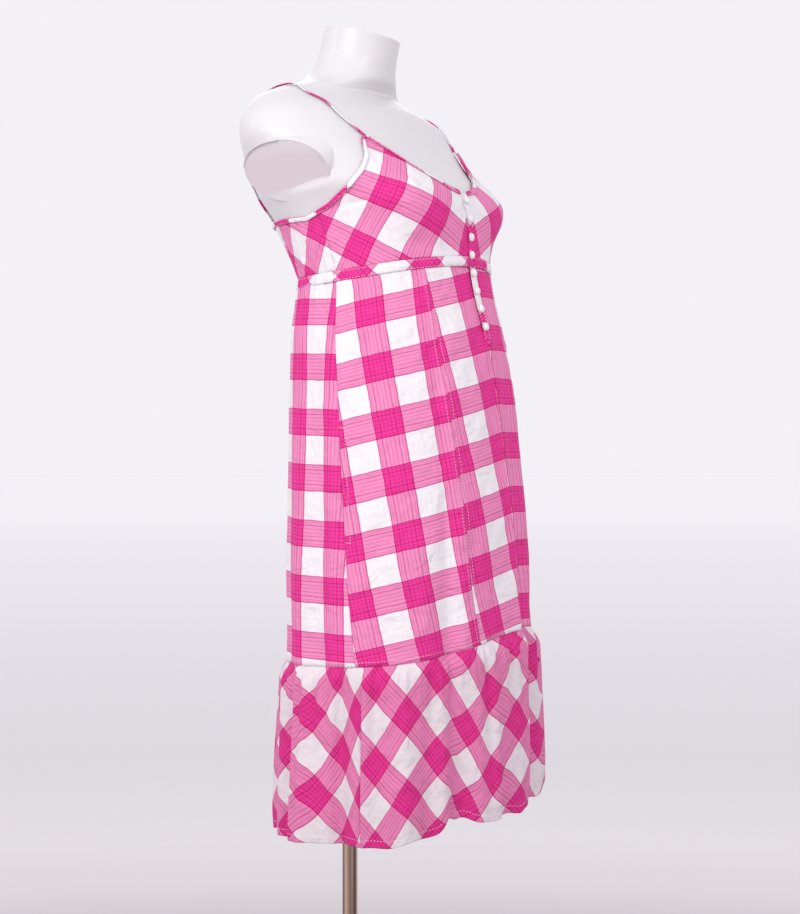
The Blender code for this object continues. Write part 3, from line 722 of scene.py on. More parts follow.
def makeBodice():
    floor = dress["casingTall"] - dress["tuck"]

    def toEdge(angle, up):
        return angle, spread(casingLow(angle) + floor, topEdge(angle), up)

    for side, sign in (("right", 1), ("left", -1)):

        def place(t, up):
            return toEdge(sign * frontAngle(t), up)

        def flatCut(run, angle, height):
            s, t = bodiceSpot(abs(turned(angle)), height)
            return [surfaceFit(terms, s, t) for terms in bodice["frontBands"]]

        clothShell(
            f"bodiceFront{side.title()}", cotton, bodice["frontGrid"], place, bodiceFace, flatCut,
            [f"bodice_front_{side}"], plain=formPoint,
        )

    def placeBack(t, up):
        return toEdge(backAngle(t), up)

    def flatBack(run, angle, height):
        s, t = bodiceSpot(angle % 360, height)
        return [surfaceFit(terms, s, t) for terms in bodice["backBands"]]

    clothShell(
        "bodiceBack", cotton, bodice["backGrid"], placeBack, bodiceFace, flatBack,
        ["bodice_back"], plain=formPoint,
    )


makeBodice()
print("bodice is made")


# bindings along the neckline and round the armholes
binding = dict(wide=0.0050, lift=0.0018, bulge=0.0004, pucker=0.0009)


def bindingFace(angle, height, out=0.0):
    up = (height - topEdge(angle) + binding["wide"]) / binding["wide"]
    rounded = binding["bulge"] * sin(pi * min(max(up, 0), 1))
    elastic = ease((abs(turned(angle)) - 36) / 6)
    across = radians(angle) * bodiceRadius
    wave = elastic * binding["pucker"] * ripple(4.4, across * 330, up * 1.3)
    return bodiceFace(angle, height, binding["lift"] + rounded + wave + out)


def makeBindings():
    for side, sign in (("right", 1), ("left", -1)):

        def place(t, up):
            angle = sign * frontAngle(spread(0.05, 0.492, t))
            return angle, topEdge(angle) - binding["wide"] * (1 - up)

        def flatCut(run, angle, height):
            depth = topEdge(angle) - height
            return 0.72 * run + 0.7 * depth + 0.024, 0.72 * run - 0.7 * depth + 0.014

        clothShell(
            f"neckBinding{side.title()}", biasCotton, (48, 4), place, bindingFace, flatCut,
            [f"neck_binding_{side}"], plain=formPoint, thick=0.0009,
        )

    def placeRound(t, up):
        angle = spread(35.5, 324.5, t)
        return angle, topEdge(angle) - binding["wide"] * (1 - up)

    def flatRound(run, angle, height):
        depth = topEdge(angle) - height
        return 0.75 * run + 0.7 * depth + 0.0275, 0.75 * run - 0.7 * depth + 0.031

    clothShell(
        "armholeBinding", biasCotton, (300, 4), placeRound, bindingFace, flatRound,
        ["armhole_binding"],
        plain=formPoint, thick=0.0009,
    )


makeBindings()


# casing under the bust
casing = dict(pitch=0.785, opening=2.2, proud=0.0008, bulge=0.0012)
leans = {}  # how far the skirt stands out past the bodice, where the casing's lower edge is sewn


def casingLean(angle):
    key = round(angle, 2)
    if key not in leans:
        low = casingLow(angle)
        leans[key] = (skirtPoint(angle, low) - bodicePoint(angle, low)).dot(normalOf(bodicePoint, angle, low))
    return leans[key]


def casingFace(angle, height, out=0.0):
    up = (height - casingLow(angle) - dress["seamGap"]) / (dress["casingTall"] - dress["seamGap"])
    up = min(max(up, 0.0), 1.0)
    across = radians(angle) * bodiceRadius
    out += casing["proud"] * ease(up * 8) + casing["bulge"] * sin(pi * up) ** 0.7 + casingLean(angle) * (1 - up) ** 1.3
    out -= 0.0004 * (hump(up - 0.13, 0.05) + hump(up - 0.87, 0.05))
    back = 0.5 + 0.5 * ease((abs(turned(angle)) - 86) / 12)
    out += back * 0.0008 * ripple(1.9, across * 190, up * 1.2)
    return bodicePoint(angle, height, out)


def makeCasing():
    inset = seamInset()
    opening = casing["opening"] + inset * 2
    side = dress["sideSeam"]
    for name, node, start, end, columns, shift in (
        ("casingFrontRight", "casing_front_right", opening, side - inset, 90, 0.0066),
        ("casingFrontLeft", "casing_front_left", -opening, inset - side, 90, 0.0298),
        ("casingBack", "casing_back", side + inset, 360 - side - inset, 240, 0.0655),
    ):

        def place(t, up):
            angle = spread(start, end, t)
            return angle, casingLow(angle) + dress["seamGap"] + (dress["casingTall"] - dress["seamGap"]) * up

        def flatCut(run, angle, height):
            up = height - casingLow(angle) - dress["casingTall"] / 2
            s = shift - casing["pitch"] * run
            return s - 0.75 * up, s + 0.75 * up

        clothShell(
            name, biasCotton, (columns, 10), place, casingFace, flatCut, [node],
            plain=formPoint, thick=0.0009,
        )


makeCasing()
print("casing and bindings are made")


# skirt
skirt = dict(
    rows=92,
    princessGroove=0.0004,
    seamRidge=0.0006,
    flatTop=1.18,
    backBend=(0.055, -0.75),  # how far round the back's check runs as measured, and its slope from there
    stitchAway=0.0042,
    pocketTop=0.985,
    pocketLow=0.849,
    creases=(
        (80, 1.140, 76, 1.090, 0.006, 0.0012),
        (66, 1.150, 64, 1.105, 0.005, -0.0010),
        (52, 1.155, 51, 1.110, 0.006, 0.0009),
        (44, 1.140, 46, 1.060, 0.008, -0.0010),
        (37, 1.100, 34, 0.800, 0.0060, -0.0018),
        (31, 1.080, 28, 0.820, 0.0060, 0.0014),
        (-37, 1.060, -34, 0.780, 0.0060, -0.0016),
        (20, 1.150, 22, 1.090, 0.006, 0.0010),
        (12, 1.100, 18, 1.020, 0.007, -0.0012),
        (84, 1.060, 78, 0.990, 0.008, 0.0014),
        (85, 0.975, 74, 0.930, 0.010, -0.0014),
        (84, 0.860, 76, 0.800, 0.009, -0.0016),
        (60, 0.930, 57, 0.790, 0.012, 0.0016),
        (48, 0.880, 45, 0.730, 0.010, 0.0018),
        (20, 0.900, 22, 0.740, 0.009, -0.0018),
        (97, 1.090, 95, 0.980, 0.007, 0.0016),
        (108, 1.120, 105, 0.930, 0.009, -0.0016),
        (96, 0.900, 94, 0.760, 0.008, -0.0018),
        (124, 1.060, 121, 0.880, 0.010, 0.0016),
        (147, 1.100, 145, 0.900, 0.009, -0.0014),
        (168, 0.980, 165, 0.760, 0.011, 0.0016),
        (-170, 1.090, -173, 0.880, 0.009, -0.0016),
        (-150, 0.960, -154, 0.740, 0.012, 0.0018),
        (-128, 1.100, -131, 0.900, 0.010, -0.0014),
        (-104, 1.020, -108, 0.800, 0.009, 0.0016),
        (-82, 1.130, -78, 1.050, 0.008, 0.0012),
        (-66, 1.010, -69, 0.800, 0.010, -0.0018),
        (-48, 1.120, -50, 0.960, 0.009, 0.0014),
        (-30, 1.000, -33, 0.780, 0.010, 0.0016),
        (-16, 1.130, -14, 1.040, 0.007, -0.0010),
    ),
)


def princess(height):
    return smooth(skirtRows, "princess", height)


def skirtFace(angle, height, out=0.0):
    away = turned(angle)
    swung = away - smooth(skirtRows, "turn", height)
    across = radians(away) * skirtRadius
    out += creaseDepth(skirt["creases"], swung, height)
    out += 0.0009 * ripple(6.5, across * 26, height * 9)
    patch = ease(0.45 + 1.6 * ripple(15.1, across * 9, height * 7))
    out += 0.0019 * patch * ripple(12.3, across * 44 + height * 22, height * 17)
    toSeam = (abs(away) - princess(height)) * radians(1) * skirtRadius
    out -= skirt["princessGroove"] * hump(toSeam, 0.0011)
    if abs(toSeam) < 0.02:
        out += skirt["seamRidge"] * hump(toSeam, 0.0045)
        out += 0.0015 * ripple(8.1, toSeam * 60, height * 130) * hump(toSeam, 0.008)
    toSide = (abs(away) - dress["sideSeam"]) * radians(1) * skirtRadius
    if abs(toSide) < 0.03:
        out -= 0.0003 * hump(toSide, 0.0012)
        out += 0.0004 * ripple(3.8, toSide * 40, height * 120) * hump(toSide, 0.006)
        inPocket = ease((skirt["pocketTop"] - height) / 0.012) * ease((height - skirt["pocketLow"]) / 0.012)
        if toSide < 0:
            out += inPocket * 0.0016 * hump(toSide, 0.007)
    fromCasing = casingLow(angle) - height
    back = 0.5 + 0.7 * ease((abs(away) - 84) / 12)
    out += back * 0.0011 * ripple(2.2, across * 150, height * 7) * hump(fromCasing, 0.022)
    fromFlounce = height - skirtSeam(angle)
    out += 0.0007 * ripple(5.9, across * 170, height * 14) * hump(fromFlounce, 0.010)
    out += 0.0002 * ease(1.4 - fromFlounce / 0.006) - 0.0008 * ease(0.6 - fromCasing / 0.001)
    return skirtPoint(angle, height, out)


def plainSkirt(angle, height):
    return section(skirtRows, angle - smooth(skirtRows, "turn", height), height)


def makeSkirt():
    inset = seamInset()
    side = dress["sideSeam"]
    for name, node, start, end, columns, sign, bandsAcross, bandsDown in (
        ("skirtSideRight", "skirt_side_right", side, princess, 52, 1,
         (0.0501, 0.909, -0.1123), (-0.0507, 0.2333, 0.9794)),
        ("skirtCentreRight", "skirt_centre_right", princess, 0, 34, 1,
         (0.1664, 0.8567, -0.0936), (-0.0222, 0.2232, 1.011)),
        ("skirtCentreLeft", "skirt_centre_left", 0, princess, 34, -1, (0.0, 0.50, 0.0), (-0.003, 0.0, 1.015)),
        ("skirtSideLeft", "skirt_side_left", side, princess, 52, -1,
         (0.0301, 0.909, -0.1123), (-0.0307, 0.1833, 0.9794)),
        ("skirtBack", "skirt_back", side, 360 - side, 190, 1,
         (0.0679, -0.5946, 0.0902, -0.4209, -5.4843), (-0.0412, 0.0365, 1.0023)),
    ):

        def edge(which, height, inward):
            return (which(height) if callable(which) else which) + inward

        way = 1 if node == "skirt_back" or name == "skirtCentreLeft" else -1

        def place(t, up):
            angle, height = 0.0, 1.0
            t = closer(t, 0.11 if node != "skirt_back" else 0.0)
            for _ in range(3):
                angle = sign * spread(edge(start, height, inset * way), edge(end, height, -inset * way), t)
                low, high = skirtSeam(angle) + dress["seamGap"] / 2, casingLow(angle) + dress["tuck"]
                height = spread(low, high, up)
            return angle, height

        def flatCut(run, angle, height):
            bend, slope = skirt["backBend"] if node == "skirt_back" else (1.0, 0.0)
            beyond = max(run - bend, 0.0) * slope
            drop = skirt["flatTop"] - height
            return surfaceFit(bandsAcross, min(run, bend), drop) + beyond, surfaceFit(bandsDown, run, drop)

        clothShell(
            name, cotton, (columns, skirt["rows"]), place, skirtFace, flatCut, [node],
            plain=plainSkirt,
        )


makeSkirt()
print("skirt is made")


# flounce
flounce = dict(
    rows=58,
    columns=250,
    tall=0.21,
    hem=0.0085,
    side=85.0,  # its side seams hang a little forward of the skirt's
    turns=4.3,  # half repeats of the check from the seam to the hem, on the bias
    # where, at the hem and at the seam, a crease runs, how wide it is and how deep, in metres
    creases=(
        (42, 42, 5.0, -0.0042), (49, 48, 3.5, 0.0026), (25, 27, 3.0, -0.0034), (8, 10, 3.4, -0.0030),
        (58, 57, 3.0, -0.0016), (67, 65, 3.2, 0.0016), (75, 74, 2.6, -0.0018), (93, 92, 3.0, 0.0016),
        (99, 97, 2.6, -0.0020), (109, 108, 3.2, 0.0018), (120, 119, 2.6, -0.0024), (132, 131, 3.4, 0.0018),
        (152, 150, 3.6, -0.0020), (171, 170, 3.4, -0.0022), (189, 190, 3.4, 0.0020), (206, 204, 3.0, -0.0020),
        (223, 224, 3.6, 0.0018), (240, 241, 3.0, -0.0022), (256, 255, 3.4, 0.0018), (274, 275, 3.0, -0.0018),
        (-12, -10, 3.2, -0.0022), (-27, -28, 3.2, 0.0018), (-45, -44, 3.6, -0.0022), (-58, -60, 3.2, 0.0020),
        (-70, -71, 3.0, -0.0020),
    ),
)
# half repeats of the check round the body and from the seam down, where the gathers put them
flounceFrontCut = table(
    "angle  across  down",
    (-90.0, 12.4, -1.90),
    (-60.0, 10.1, -1.90),
    (-36.0, 8.4, -1.90),
    (-14.5, 7.0, -1.85),
    (-3.0, 6.0, -1.40),
    (9.0, 5.0, -1.10),
    (26.5, 4.0, -1.20),
    (37.3, 3.0, -1.00),
    (52.0, 2.0, -0.38),
    (65.7, 1.0, -0.22),
    (79.0, 0.0, -0.36),
    (90.0, -0.85, -0.40),
)
flounceBackCut = table(
    "angle  across  down",
    (80.0, 1.5, -0.15),
    (85.7, 1.0, -0.15),
    (94.8, 0.0, -0.12),
    (109.5, -1.0, -0.12),
    (133.5, -2.0, -0.08),
    (150.0, -3.1, -0.10),
    (180.0, -5.2, -0.12),
    (215.0, -7.7, -0.12),
    (250.0, -10.2, -0.12),
    (285.0, -12.6, -0.12),
)


def flounceFace(angle, drop, out=0.0):
    across = radians(turned(angle)) * 0.17
    out += 0.0034 * ripple(1.3, across * 150, drop * 1.6) * ease(drop * 16) * (1 - ease(drop * 2.2))
    deep = ease(drop * 5) * (0.75 + 0.25 * drop)
    for low, high, wide, much in flounce["creases"]:
        away = abs(turned(angle - spread(high, low, drop)))
        if away < wide * 3:
            out += much * deep * hump(away, wide)
    step = abs(turned(angle)) - flounce["side"]
    out += (0.0016 if step < 0 else -0.0010) * hump(step, 4.0) * ease(drop * 9)
    out += 0.0011 * ripple(4.7, across * 62, drop * 1.2) * ease(drop * 10) * (1 - 0.55 * drop)
    out += 0.0010 * ripple(8.8, across * 24, drop * 2.4) * ease(drop * 4)
    out -= 0.0009 * ease((0.003 - drop) / 0.005)
    above = (1 - drop) * flounce["tall"]
    out += 0.0005 * (1 - ease((above - flounce["hem"] + 0.0006) / 0.0012))
    out -= 0.0004 * hump(above - flounce["hem"], 0.0009)
    out += 0.0011 * ripple(6.1, across * 95, above * 50) * hump(above, 0.012)
    return flouncePoint(angle, drop, out)


def plainFlounce(angle, drop):
    return section(skirtRows, angle, 0.71)


def makeFlounce():
    inset = seamInset(0.16)
    side = flounce["side"]
    for name, node, start, end, cutRows, swing in (
        ("flounceFront", "flounce_front", side - inset, inset - side, flounceFrontCut, 0.0),
        ("flounceBack", "flounce_back", side + inset, 360 - side - inset, flounceBackCut, 8.0),
    ):

        def place(t, up):
            down = 1 - up
            down = down - 0.10 * sin(2 * pi * down)
            return spread(start, end, t), spread(-0.006, 1.0, down)

        def flatCut(run, angle, drop):
            at = angle + swing * (drop - 0.5)
            around = smooth(cutRows, "across", at)
            down = flounce["turns"] * drop + smooth(cutRows, "down", at)
            return [(0.25 + (down + way * around) / 2) * check["repeat"] for way in (1, -1)]

        above = ["skirt_back"] if node == "flounce_back" else ["skirt_side_right", "skirt_side_left"]
        clothShell(
            name, flounceCotton, (flounce["columns"], flounce["rows"]), place, flounceFace, flatCut,
            [node], plain=plainFlounce,
        )


makeFlounce()
print("flounce is made")


# pocket bags inside the side seams
pocket = dict(top=0.985, deep=0.195, reach=34.0, hung=0.0006, inside=0.0044, thick=0.0018)


def pocketFace(angle, height):
    t = (dress["sideSeam"] - 1.2 - abs(angle)) / pocket["reach"]
    lift = -dress["clothThick"] - spread(pocket["hung"], pocket["inside"], ease(t * 3))
    return skirtPoint(angle, height) + normalOf(skirtPoint, angle, height, level=True) * lift


def makePockets():
    for side, sign in (("right", 1), ("left", -1)):

        def place(t, up):
            angle = sign * (dress["sideSeam"] - 1.2 - pocket["reach"] * t)
            slant = 0.030 * t
            rounded = 0.028 * (t**2 + (1 - t) ** 2) * (1 - up) ** 3
            return angle, pocket["top"] - slant * up - pocket["deep"] * (1 - up) + rounded

        def flatCut(run, angle, height):
            return run + 0.01, skirt["flatTop"] - height

        clothShell(
            f"pocketBag{side.title()}", cotton, (24, 30), place, pocketFace, flatCut,
            [f"pocket_{side}"], plain=plainSkirt, thick=pocket["thick"],
        )


makePockets()


# placket, loops and buttons
placket = dict(
    low=1.084, span=2.2, thick=0.0010, frill=0.0105, frillFrom=1.222, colourFrom=1.2316,
    buttons=8, firstButton=1.2605, pitch=0.0219, radius=0.0050, tall=0.0034,
)


def placketPoint(angle, height):
    mix = ease((height - casingLow(angle) + 0.004) / (dress["casingTall"] + 0.006))
    below = skirtPoint(angle, min(height, 1.185))
    return below + (bodicePoint(angle, height) - below) * mix


def overSkirt(height):
    return 0.0009 * ease((casingLow(0) + dress["casingTall"] - height) / dress["casingTall"])


def placketFace(angle, height, out=0.0):
    edge = abs(angle) / placket["span"]
    out += 0.0003 * ripple(2.9, angle * 0.6, height * 190) * (0.4 + edge)
    out -= 0.0003 * hump(edge - 0.72, 0.12)
    frill = 0.5 + 0.5 * sin(height * 2 * pi / placket["frill"] + sin(height * 310))
    angle += 1.1 * max(angle, 0.0) / placket["span"] * frill * ease((height - placket["frillFrom"]) / 0.006)
    lift = dress["seamGap"] + placket["thick"] + overSkirt(height)
    return placketPoint(angle, height) + normalOf(placketPoint, angle, height) * (lift + out)


def makePlacket():
    top = topEdge(0) - 0.0006

    def place(t, up):
        return spread(placket["span"], -placket["span"], t), spread(placket["low"], top, up)

    def flatCut(run, angle, height):
        bias, off = 0.62 * (placket["colourFrom"] - height), 0.35 * (run - 0.0054)
        return bias + off, bias - off

    clothShell(
        "placketStrip", biasCotton, (14, 150), place, placketFace, flatCut, ["placket"],
        plain=placketPoint, thick=placket["thick"],
    )


def makeButtons():
    radius, tall = placket["radius"], placket["tall"]
    profile = (  # from the middle of the underside, round the rim, to the crown
        (0.0, 0.0), (0.80, 0.0), (0.93, 0.05), (1.0, 0.20), (1.0, 0.34), (0.95, 0.48), (0.86, 0.60),
        (0.78, 0.66), (0.66, 0.79), (0.48, 0.91), (0.26, 0.98), (0.0, 1.0),
    )
    loops = bmesh.new()
    for number in range(placket["buttons"]):
        height = placket["firstButton"] - placket["pitch"] * number
        out = normalOf(placketPoint, 0.0, height)
        middle = placketFlat(0.0, height)
        under = [placketFlat(0.0, height + radius * reach) - middle for reach in (-1.3, -0.65, 0.0, 0.65, 1.3)]
        foot = middle + out * (max(spot.dot(out) for spot in under) + dress["seamGap"])
        mesh = bmesh.new()
        spinProfile(mesh, [(radius * r, tall * h) for r, h in profile], 32, 1e-6)
        facing = out.to_track_quat("Z", "Y").to_matrix().to_4x4()
        mesh.transform(Matrix.Translation(foot) @ facing)
        finishPiece(f"button{number + 1}", mesh, pearl, [f"button_{number + 1}"])
        loopRound(loops, foot, out, number)
    finishPiece("buttonLoops", loops, loopCotton)


loop = dict(round=0.0054, thick=0.00055)


def tube(mesh, points, radius, sides=8, ends=True):
    rings = []
    for i, point in enumerate(points):
        way = (points[min(i + 1, len(points) - 1)] - points[max(i - 1, 0)]).normalized()
        side = way.orthogonal() if not rings else (lastSide - way * lastSide.dot(way))
        side.normalize()
        lastSide = side
        up = way.cross(side)
        wide = radius(i / (len(points) - 1)) if callable(radius) else radius
        ring = bmesh.ops.create_circle(mesh, segments=sides, radius=wide)["verts"]
        bmesh.ops.transform(
            mesh, verts=ring, matrix=Matrix.Translation(point) @ Matrix((side, up, way)).transposed().to_4x4(),
        )
        rings.append(ring)
    for before, after in zip(rings, rings[1:]):
        joined = [mesh.edges.get((ring[i], ring[(i + 1) % sides])) for ring in (before, after) for i in range(sides)]
        bmesh.ops.bridge_loops(mesh, edges=joined)
    if ends:
        for ring in (rings[0], rings[-1]):
            bmesh.ops.contextual_create(mesh, geom=ring)


def loopRound(mesh, foot, out, number):
    up = Vector((0, 0, 1))
    up = (up - out * up.dot(out)).normalized()
    right = up.cross(out)  # towards the wearer's right
    if right.x > 0:
        right = -right
    points = []
    for step in range(15):
        turn = radians(spread(-72, 72, step / 14))
        wide = loop["round"] * (1 + 0.06 * sin(number * 2.3))
        raised = foot + out * (0.0011 + 0.0003 * cos(turn * 2))
        points.append(raised + right * (wide * cos(turn) + 0.0012) + up * wide * sin(turn))
    tube(mesh, points, loop["thick"])


def placketFlat(angle, height):
    lift = dress["seamGap"] + placket["thick"] + overSkirt(height)
    return placketPoint(angle, height) + normalOf(placketPoint, angle, height) * lift


makePlacket()
makeButtons()
print("placket and buttons are made")


# straps
strap = dict(wide=0.0062, thick=0.0014, underEnd=0.0024, backEnd=0.0012, centre=1.285)
strapRows = table(
    "along  middle",
    (0.00, 0.1040),
    (0.05, 0.1130),
    (0.12, 0.1230),
    (0.20, 0.1210),
    (0.30, 0.1170),
    (0.38, 0.1070),
    (0.50, 0.0930),
    (0.70, 0.0860),
    (1.00, 0.0800),
)


def insideForm(point):
    wide = smooth(formRows, "wide", point.z)
    ahead = -point.y - smooth(formRows, "forward", point.z)
    deep = smooth(formRows, "front" if ahead > 0 else "back", point.z)
    return (point.x / wide) ** 2 + (ahead / deep) ** 2 < 1


def strapPoint(turn, across):
    middle = Vector((across, 0.0, strap["centre"]))
    way = Vector((0.0, -cos(radians(turn)), sin(radians(turn))))
    near, far = 0.0, 0.25
    for _ in range(20):
        reach = (near + far) / 2
        if insideForm(middle + way * reach):
            near = reach
        else:
            far = reach
    return middle + way * near


def strapEnd(height, across, low, high):
    for _ in range(20):
        turn = (low + high) / 2
        outward = normalOf(strapPoint, turn, across)
        if strapPoint(turn, across).z + outward.z * 0.0031 < height:
            low = turn
        else:
            high = turn
    return turn


def makeStraps():
    frontEnd = strapEnd(topEdge(dress["apex"]) + strap["underEnd"], strapRows["middle"][0], 0, 90)
    backEnd = strapEnd(topEdge(180) + strap["backEnd"], strapRows["middle"][-1], 270, 120)
    for side, sign in (("right", -1), ("left", 1)):
        spine = {}

        def place(t, up):
            return t, up

        def strapFace(t, up):
            if t not in spine:
                turn = spread(frontEnd, backEnd, t)
                middle = smooth(strapRows, "middle", t) * sign
                point, normal = strapPoint(turn, middle), normalOf(strapPoint, turn, middle)
                if normal.dot(point - Vector((middle, 0, strap["centre"]))) < 0:
                    normal = -normal
                spine[t] = (point, normal)
            point, normal = spine[t]
            narrow = 1 - 0.16 * hump(t - 0.16, 0.06) + 0.05 * ripple(2.2, t * 24, 0.5)
            roll = 0.28 * ripple(5.1, t * 7, 0.3) * sin(pi * t)
            offset = strap["wide"] * narrow * (up - 0.5)
            rounded = strap["thick"] * (0.45 + 0.55 * sin(pi * up) ** 0.6) * (1 - 0.5 * ease((t - 0.62) / 0.1))
            rise = dress["underCloth"] + rounded + offset * roll
            return point + normal * rise + Vector((offset, 0, 0))

        def flatCut(run, t, up):
            run += 0.36 * max(t - 0.60, 0.0)
            return run + 0.009 * up + 0.0180, run - 0.009 * up + 0.0270

        clothShell(
            f"strap{side.title()}", biasCotton, (150, 8), place, strapFace, flatCut,
            [f"strap_{side}"], thick=0.0008,
        )


makeStraps()
print("straps are made")


# the dress form
form = dict(
    neckCut=Vector((0, -0.0654, 1.4660)),
    neckSlope=Vector((0.10, -0.195, 1.0)),
    armEnd=Vector((0.1650, -0.0170, 1.2910)),
    armOutward=Vector((0.835, -0.05, -0.55)),
    armHalfWide=0.0585,
    armHalfTall=0.0410,
    armLong=0.085,
    armCut=(0.616, 0.266),  # where the arm's end runs out into the side, as shares of its half height
    mouldLine=92.5,
    white=(0.680, 0.667, 0.676),
    # painted shade and painted pink reflection on the flat arm ends
    armFaceShadeAndReflection=(0.630, 0.562, 0.590),
)


def formShell():
    made, start, shader = newMaterial("formShell")
    place = start.node("TexCoord", {}, {}, result="Object")
    out = form["armOutward"].normalized()
    parts = start.tree.nodes.new("ShaderNodeSeparateXYZ")
    start.tree.links.new(place.socket, parts.inputs[0])
    away = Strand(start.tree, parts.outputs[0]).math("ABSOLUTE", Strand(start.tree, parts.outputs[0]))
    y, z = Strand(start.tree, parts.outputs[1]), Strand(start.tree, parts.outputs[2])
    beyond = away * out.x + y * out.y + z * out.z - form["armEnd"].dot(out)
    up = Vector((0, 1, 0)).cross(out).normalized()
    low, back = (
        (away * way.x + y * way.y + z * way.z - form["armEnd"].dot(way)) / half
        for way, half in ((up, form["armHalfTall"]), (out.cross(up), form["armHalfWide"]))
    )
    inside = low * low + back * back
    # mask of the painted shade and reflection on each arm end; it stops below a slanted line where the end blends into
    # the side
    cut = back * form["armCut"][1] - low + form["armCut"][0]
    armFaceShadeMask = beyond.within(-0.0022, -0.0008) * (1.0 - beyond.within(0.0030, 0.0070)) * (1.0 - inside.within(1.0, 1.1))
    armFaceShadeMask = armFaceShadeMask * cut.within(-0.10, 0.14)
    clouds = start.node("TexNoise", {}, {"Vector": place, "Scale": 9.0, "Detail": 2.0})
    white = start.mix(clouds.within(0.3, 0.7), (*(c * 0.985 for c in form["white"]), 1), (*form["white"], 1))
    # the arm ends get the painted shade and reflection colour
    colour = start.mix(armFaceShadeMask, white, (*form["armFaceShadeAndReflection"], 1))
    grain = start.node("TexNoise", {}, {"Vector": place, "Scale": 700.0, "Detail": 2.0})
    bump = start.node("Bump", {}, {"Strength": 0.35, "Distance": 1.0, "Height": grain * 0.00006 + clouds * 0.0012})
    feed(start, shader, {
        "Base Color": colour, "Roughness": armFaceShadeMask * 0.2 + 0.38, "Normal": bump, "Specular IOR Level": 0.45,
    })
    return made


def armEndOn(sign):
    mirror = Vector((sign, 1, 1))
    return form["armEnd"] * mirror, (form["armOutward"] * mirror).normalized()


def armStub(sign):
    end, outward = armEndOn(sign)
    up = Vector((0, 1, 0)).cross(outward).normalized()
    wide = outward.cross(up)
    mesh = bmesh.new()
    bmesh.ops.create_cone(mesh, cap_ends=True, segments=96, radius1=1, radius2=1, depth=form["armLong"])
    stretch = Matrix((wide * form["armHalfWide"], up * form["armHalfTall"], outward)).transposed().to_4x4()
    mesh.transform(Matrix.Translation(end - outward * form["armLong"] / 2) @ stretch)
    atEnd = [e for e in mesh.edges if all((v.co - end).dot(outward) > -0.001 for v in e.verts)]
    rim = [e for e in atEnd if e.calc_face_angle(0) > 1]
    bmesh.ops.bevel(mesh, geom=rim, offset=0.0022, segments=4, profile=0.5, affect="EDGES", material=-1)
    bmesh.ops.recalc_face_normals(mesh, faces=mesh.faces)
    return addObject("armStub", mesh)


def clearOfArmEnd(point):
    sign = 1 if point.x > 0 else -1
    end, outward = armEndOn(sign)
    apart = point - end
    high = apart.dot(Vector((0, -1, 0)).cross(outward).normalized() * sign) / form["armHalfTall"]
    back = apart.y / form["armHalfWide"]
    share = ease((1.2 - high * high - back * back) / 0.3)
    share *= ease((high + form["armCut"][0] + form["armCut"][1] * back + 0.08) / 0.30)
    return point - outward * max(apart.dot(outward) + 0.0015, 0.0) * share


def makeForm():
    mesh = bmesh.new()
    line = form["mouldLine"]
    angles = {round(360 * i / 150, 2) for i in range(151)}
    for side in (line, 360 - line):
        angles |= {round(side + step, 2) for step in (-1.1, -0.7, -0.45, -0.25, 0.0, 0.25, 0.45, 0.7, 1.1)}
    angles = sorted(angles)
    heights = formRows["height"]
    rings = [heights[0]]
    while rings[-1] < 1.16:
        rings.append(min(rings[-1] + 0.012, 1.16))
    while rings[-1] < heights[-1] - 0.001:
        rings.append(rings[-1] + 0.0032)
    bmesh.ops.create_grid(mesh, x_segments=len(angles) - 1, y_segments=len(rings) - 1, size=0.5)
    for corner in mesh.verts:
        angle = angles[round((corner.co.x + 0.5) * (len(angles) - 1))]
        height = rings[round((corner.co.y + 0.5) * (len(rings) - 1))]
        point = clearOfArmEnd(formPoint(angle, height))
        ridge = 0.0006 * hump((abs(turned(angle)) - line), 0.32) * ease((height - 1.33) / 0.02)
        centre = Vector((0, -smooth(formRows, "forward", height), height))
        corner.co = point + (point - centre).normalized() * ridge
    bmesh.ops.remove_doubles(mesh, verts=mesh.verts, dist=1e-6)
    openEdges = [edge for edge in mesh.edges if edge.is_boundary]
    bmesh.ops.contextual_create(mesh, geom=[e for e in openEdges if e.verts[0].co.z < 1])
    bmesh.ops.contextual_create(mesh, geom=[e for e in openEdges if e.verts[0].co.z > 1])
    everything = list(mesh.verts) + list(mesh.edges) + list(mesh.faces)
    bmesh.ops.bisect_plane(
        mesh, geom=everything, plane_co=form["neckCut"], plane_no=form["neckSlope"].normalized(), clear_outer=True,
        dist=1e-6,
    )
    bmesh.ops.contextual_create(mesh, geom=[edge for edge in mesh.edges if edge.is_boundary])
    bmesh.ops.recalc_face_normals(mesh, faces=mesh.faces)
    torso = addObject("torsoDraft", mesh)
    stubs = [armStub(-1), armStub(1)]
    for stub in stubs:
        joined = torso.modifiers.new("arm", "BOOLEAN")
        joined.operation = "UNION"
        joined.solver = "EXACT"
        joined.object = stub
    graph = bpy.context.evaluated_depsgraph_get()
    whole = bmesh.new()
    whole.from_mesh(torso.evaluated_get(graph).data)
    for draft in (torso, *stubs):
        bpy.data.objects.remove(draft)
    bmesh.ops.remove_doubles(whole, verts=whole.verts, dist=1e-5)
    finishPiece("dressForm", whole, formShell(), ["form_torso"], sharp=32)


makeForm()
print("dress form is made")


# pole and base
stand = dict(pole=0.0095, collar=0.021, collarTall=0.038, socket=0.024, socketTall=0.020, base=0.150, baseTall=0.012)
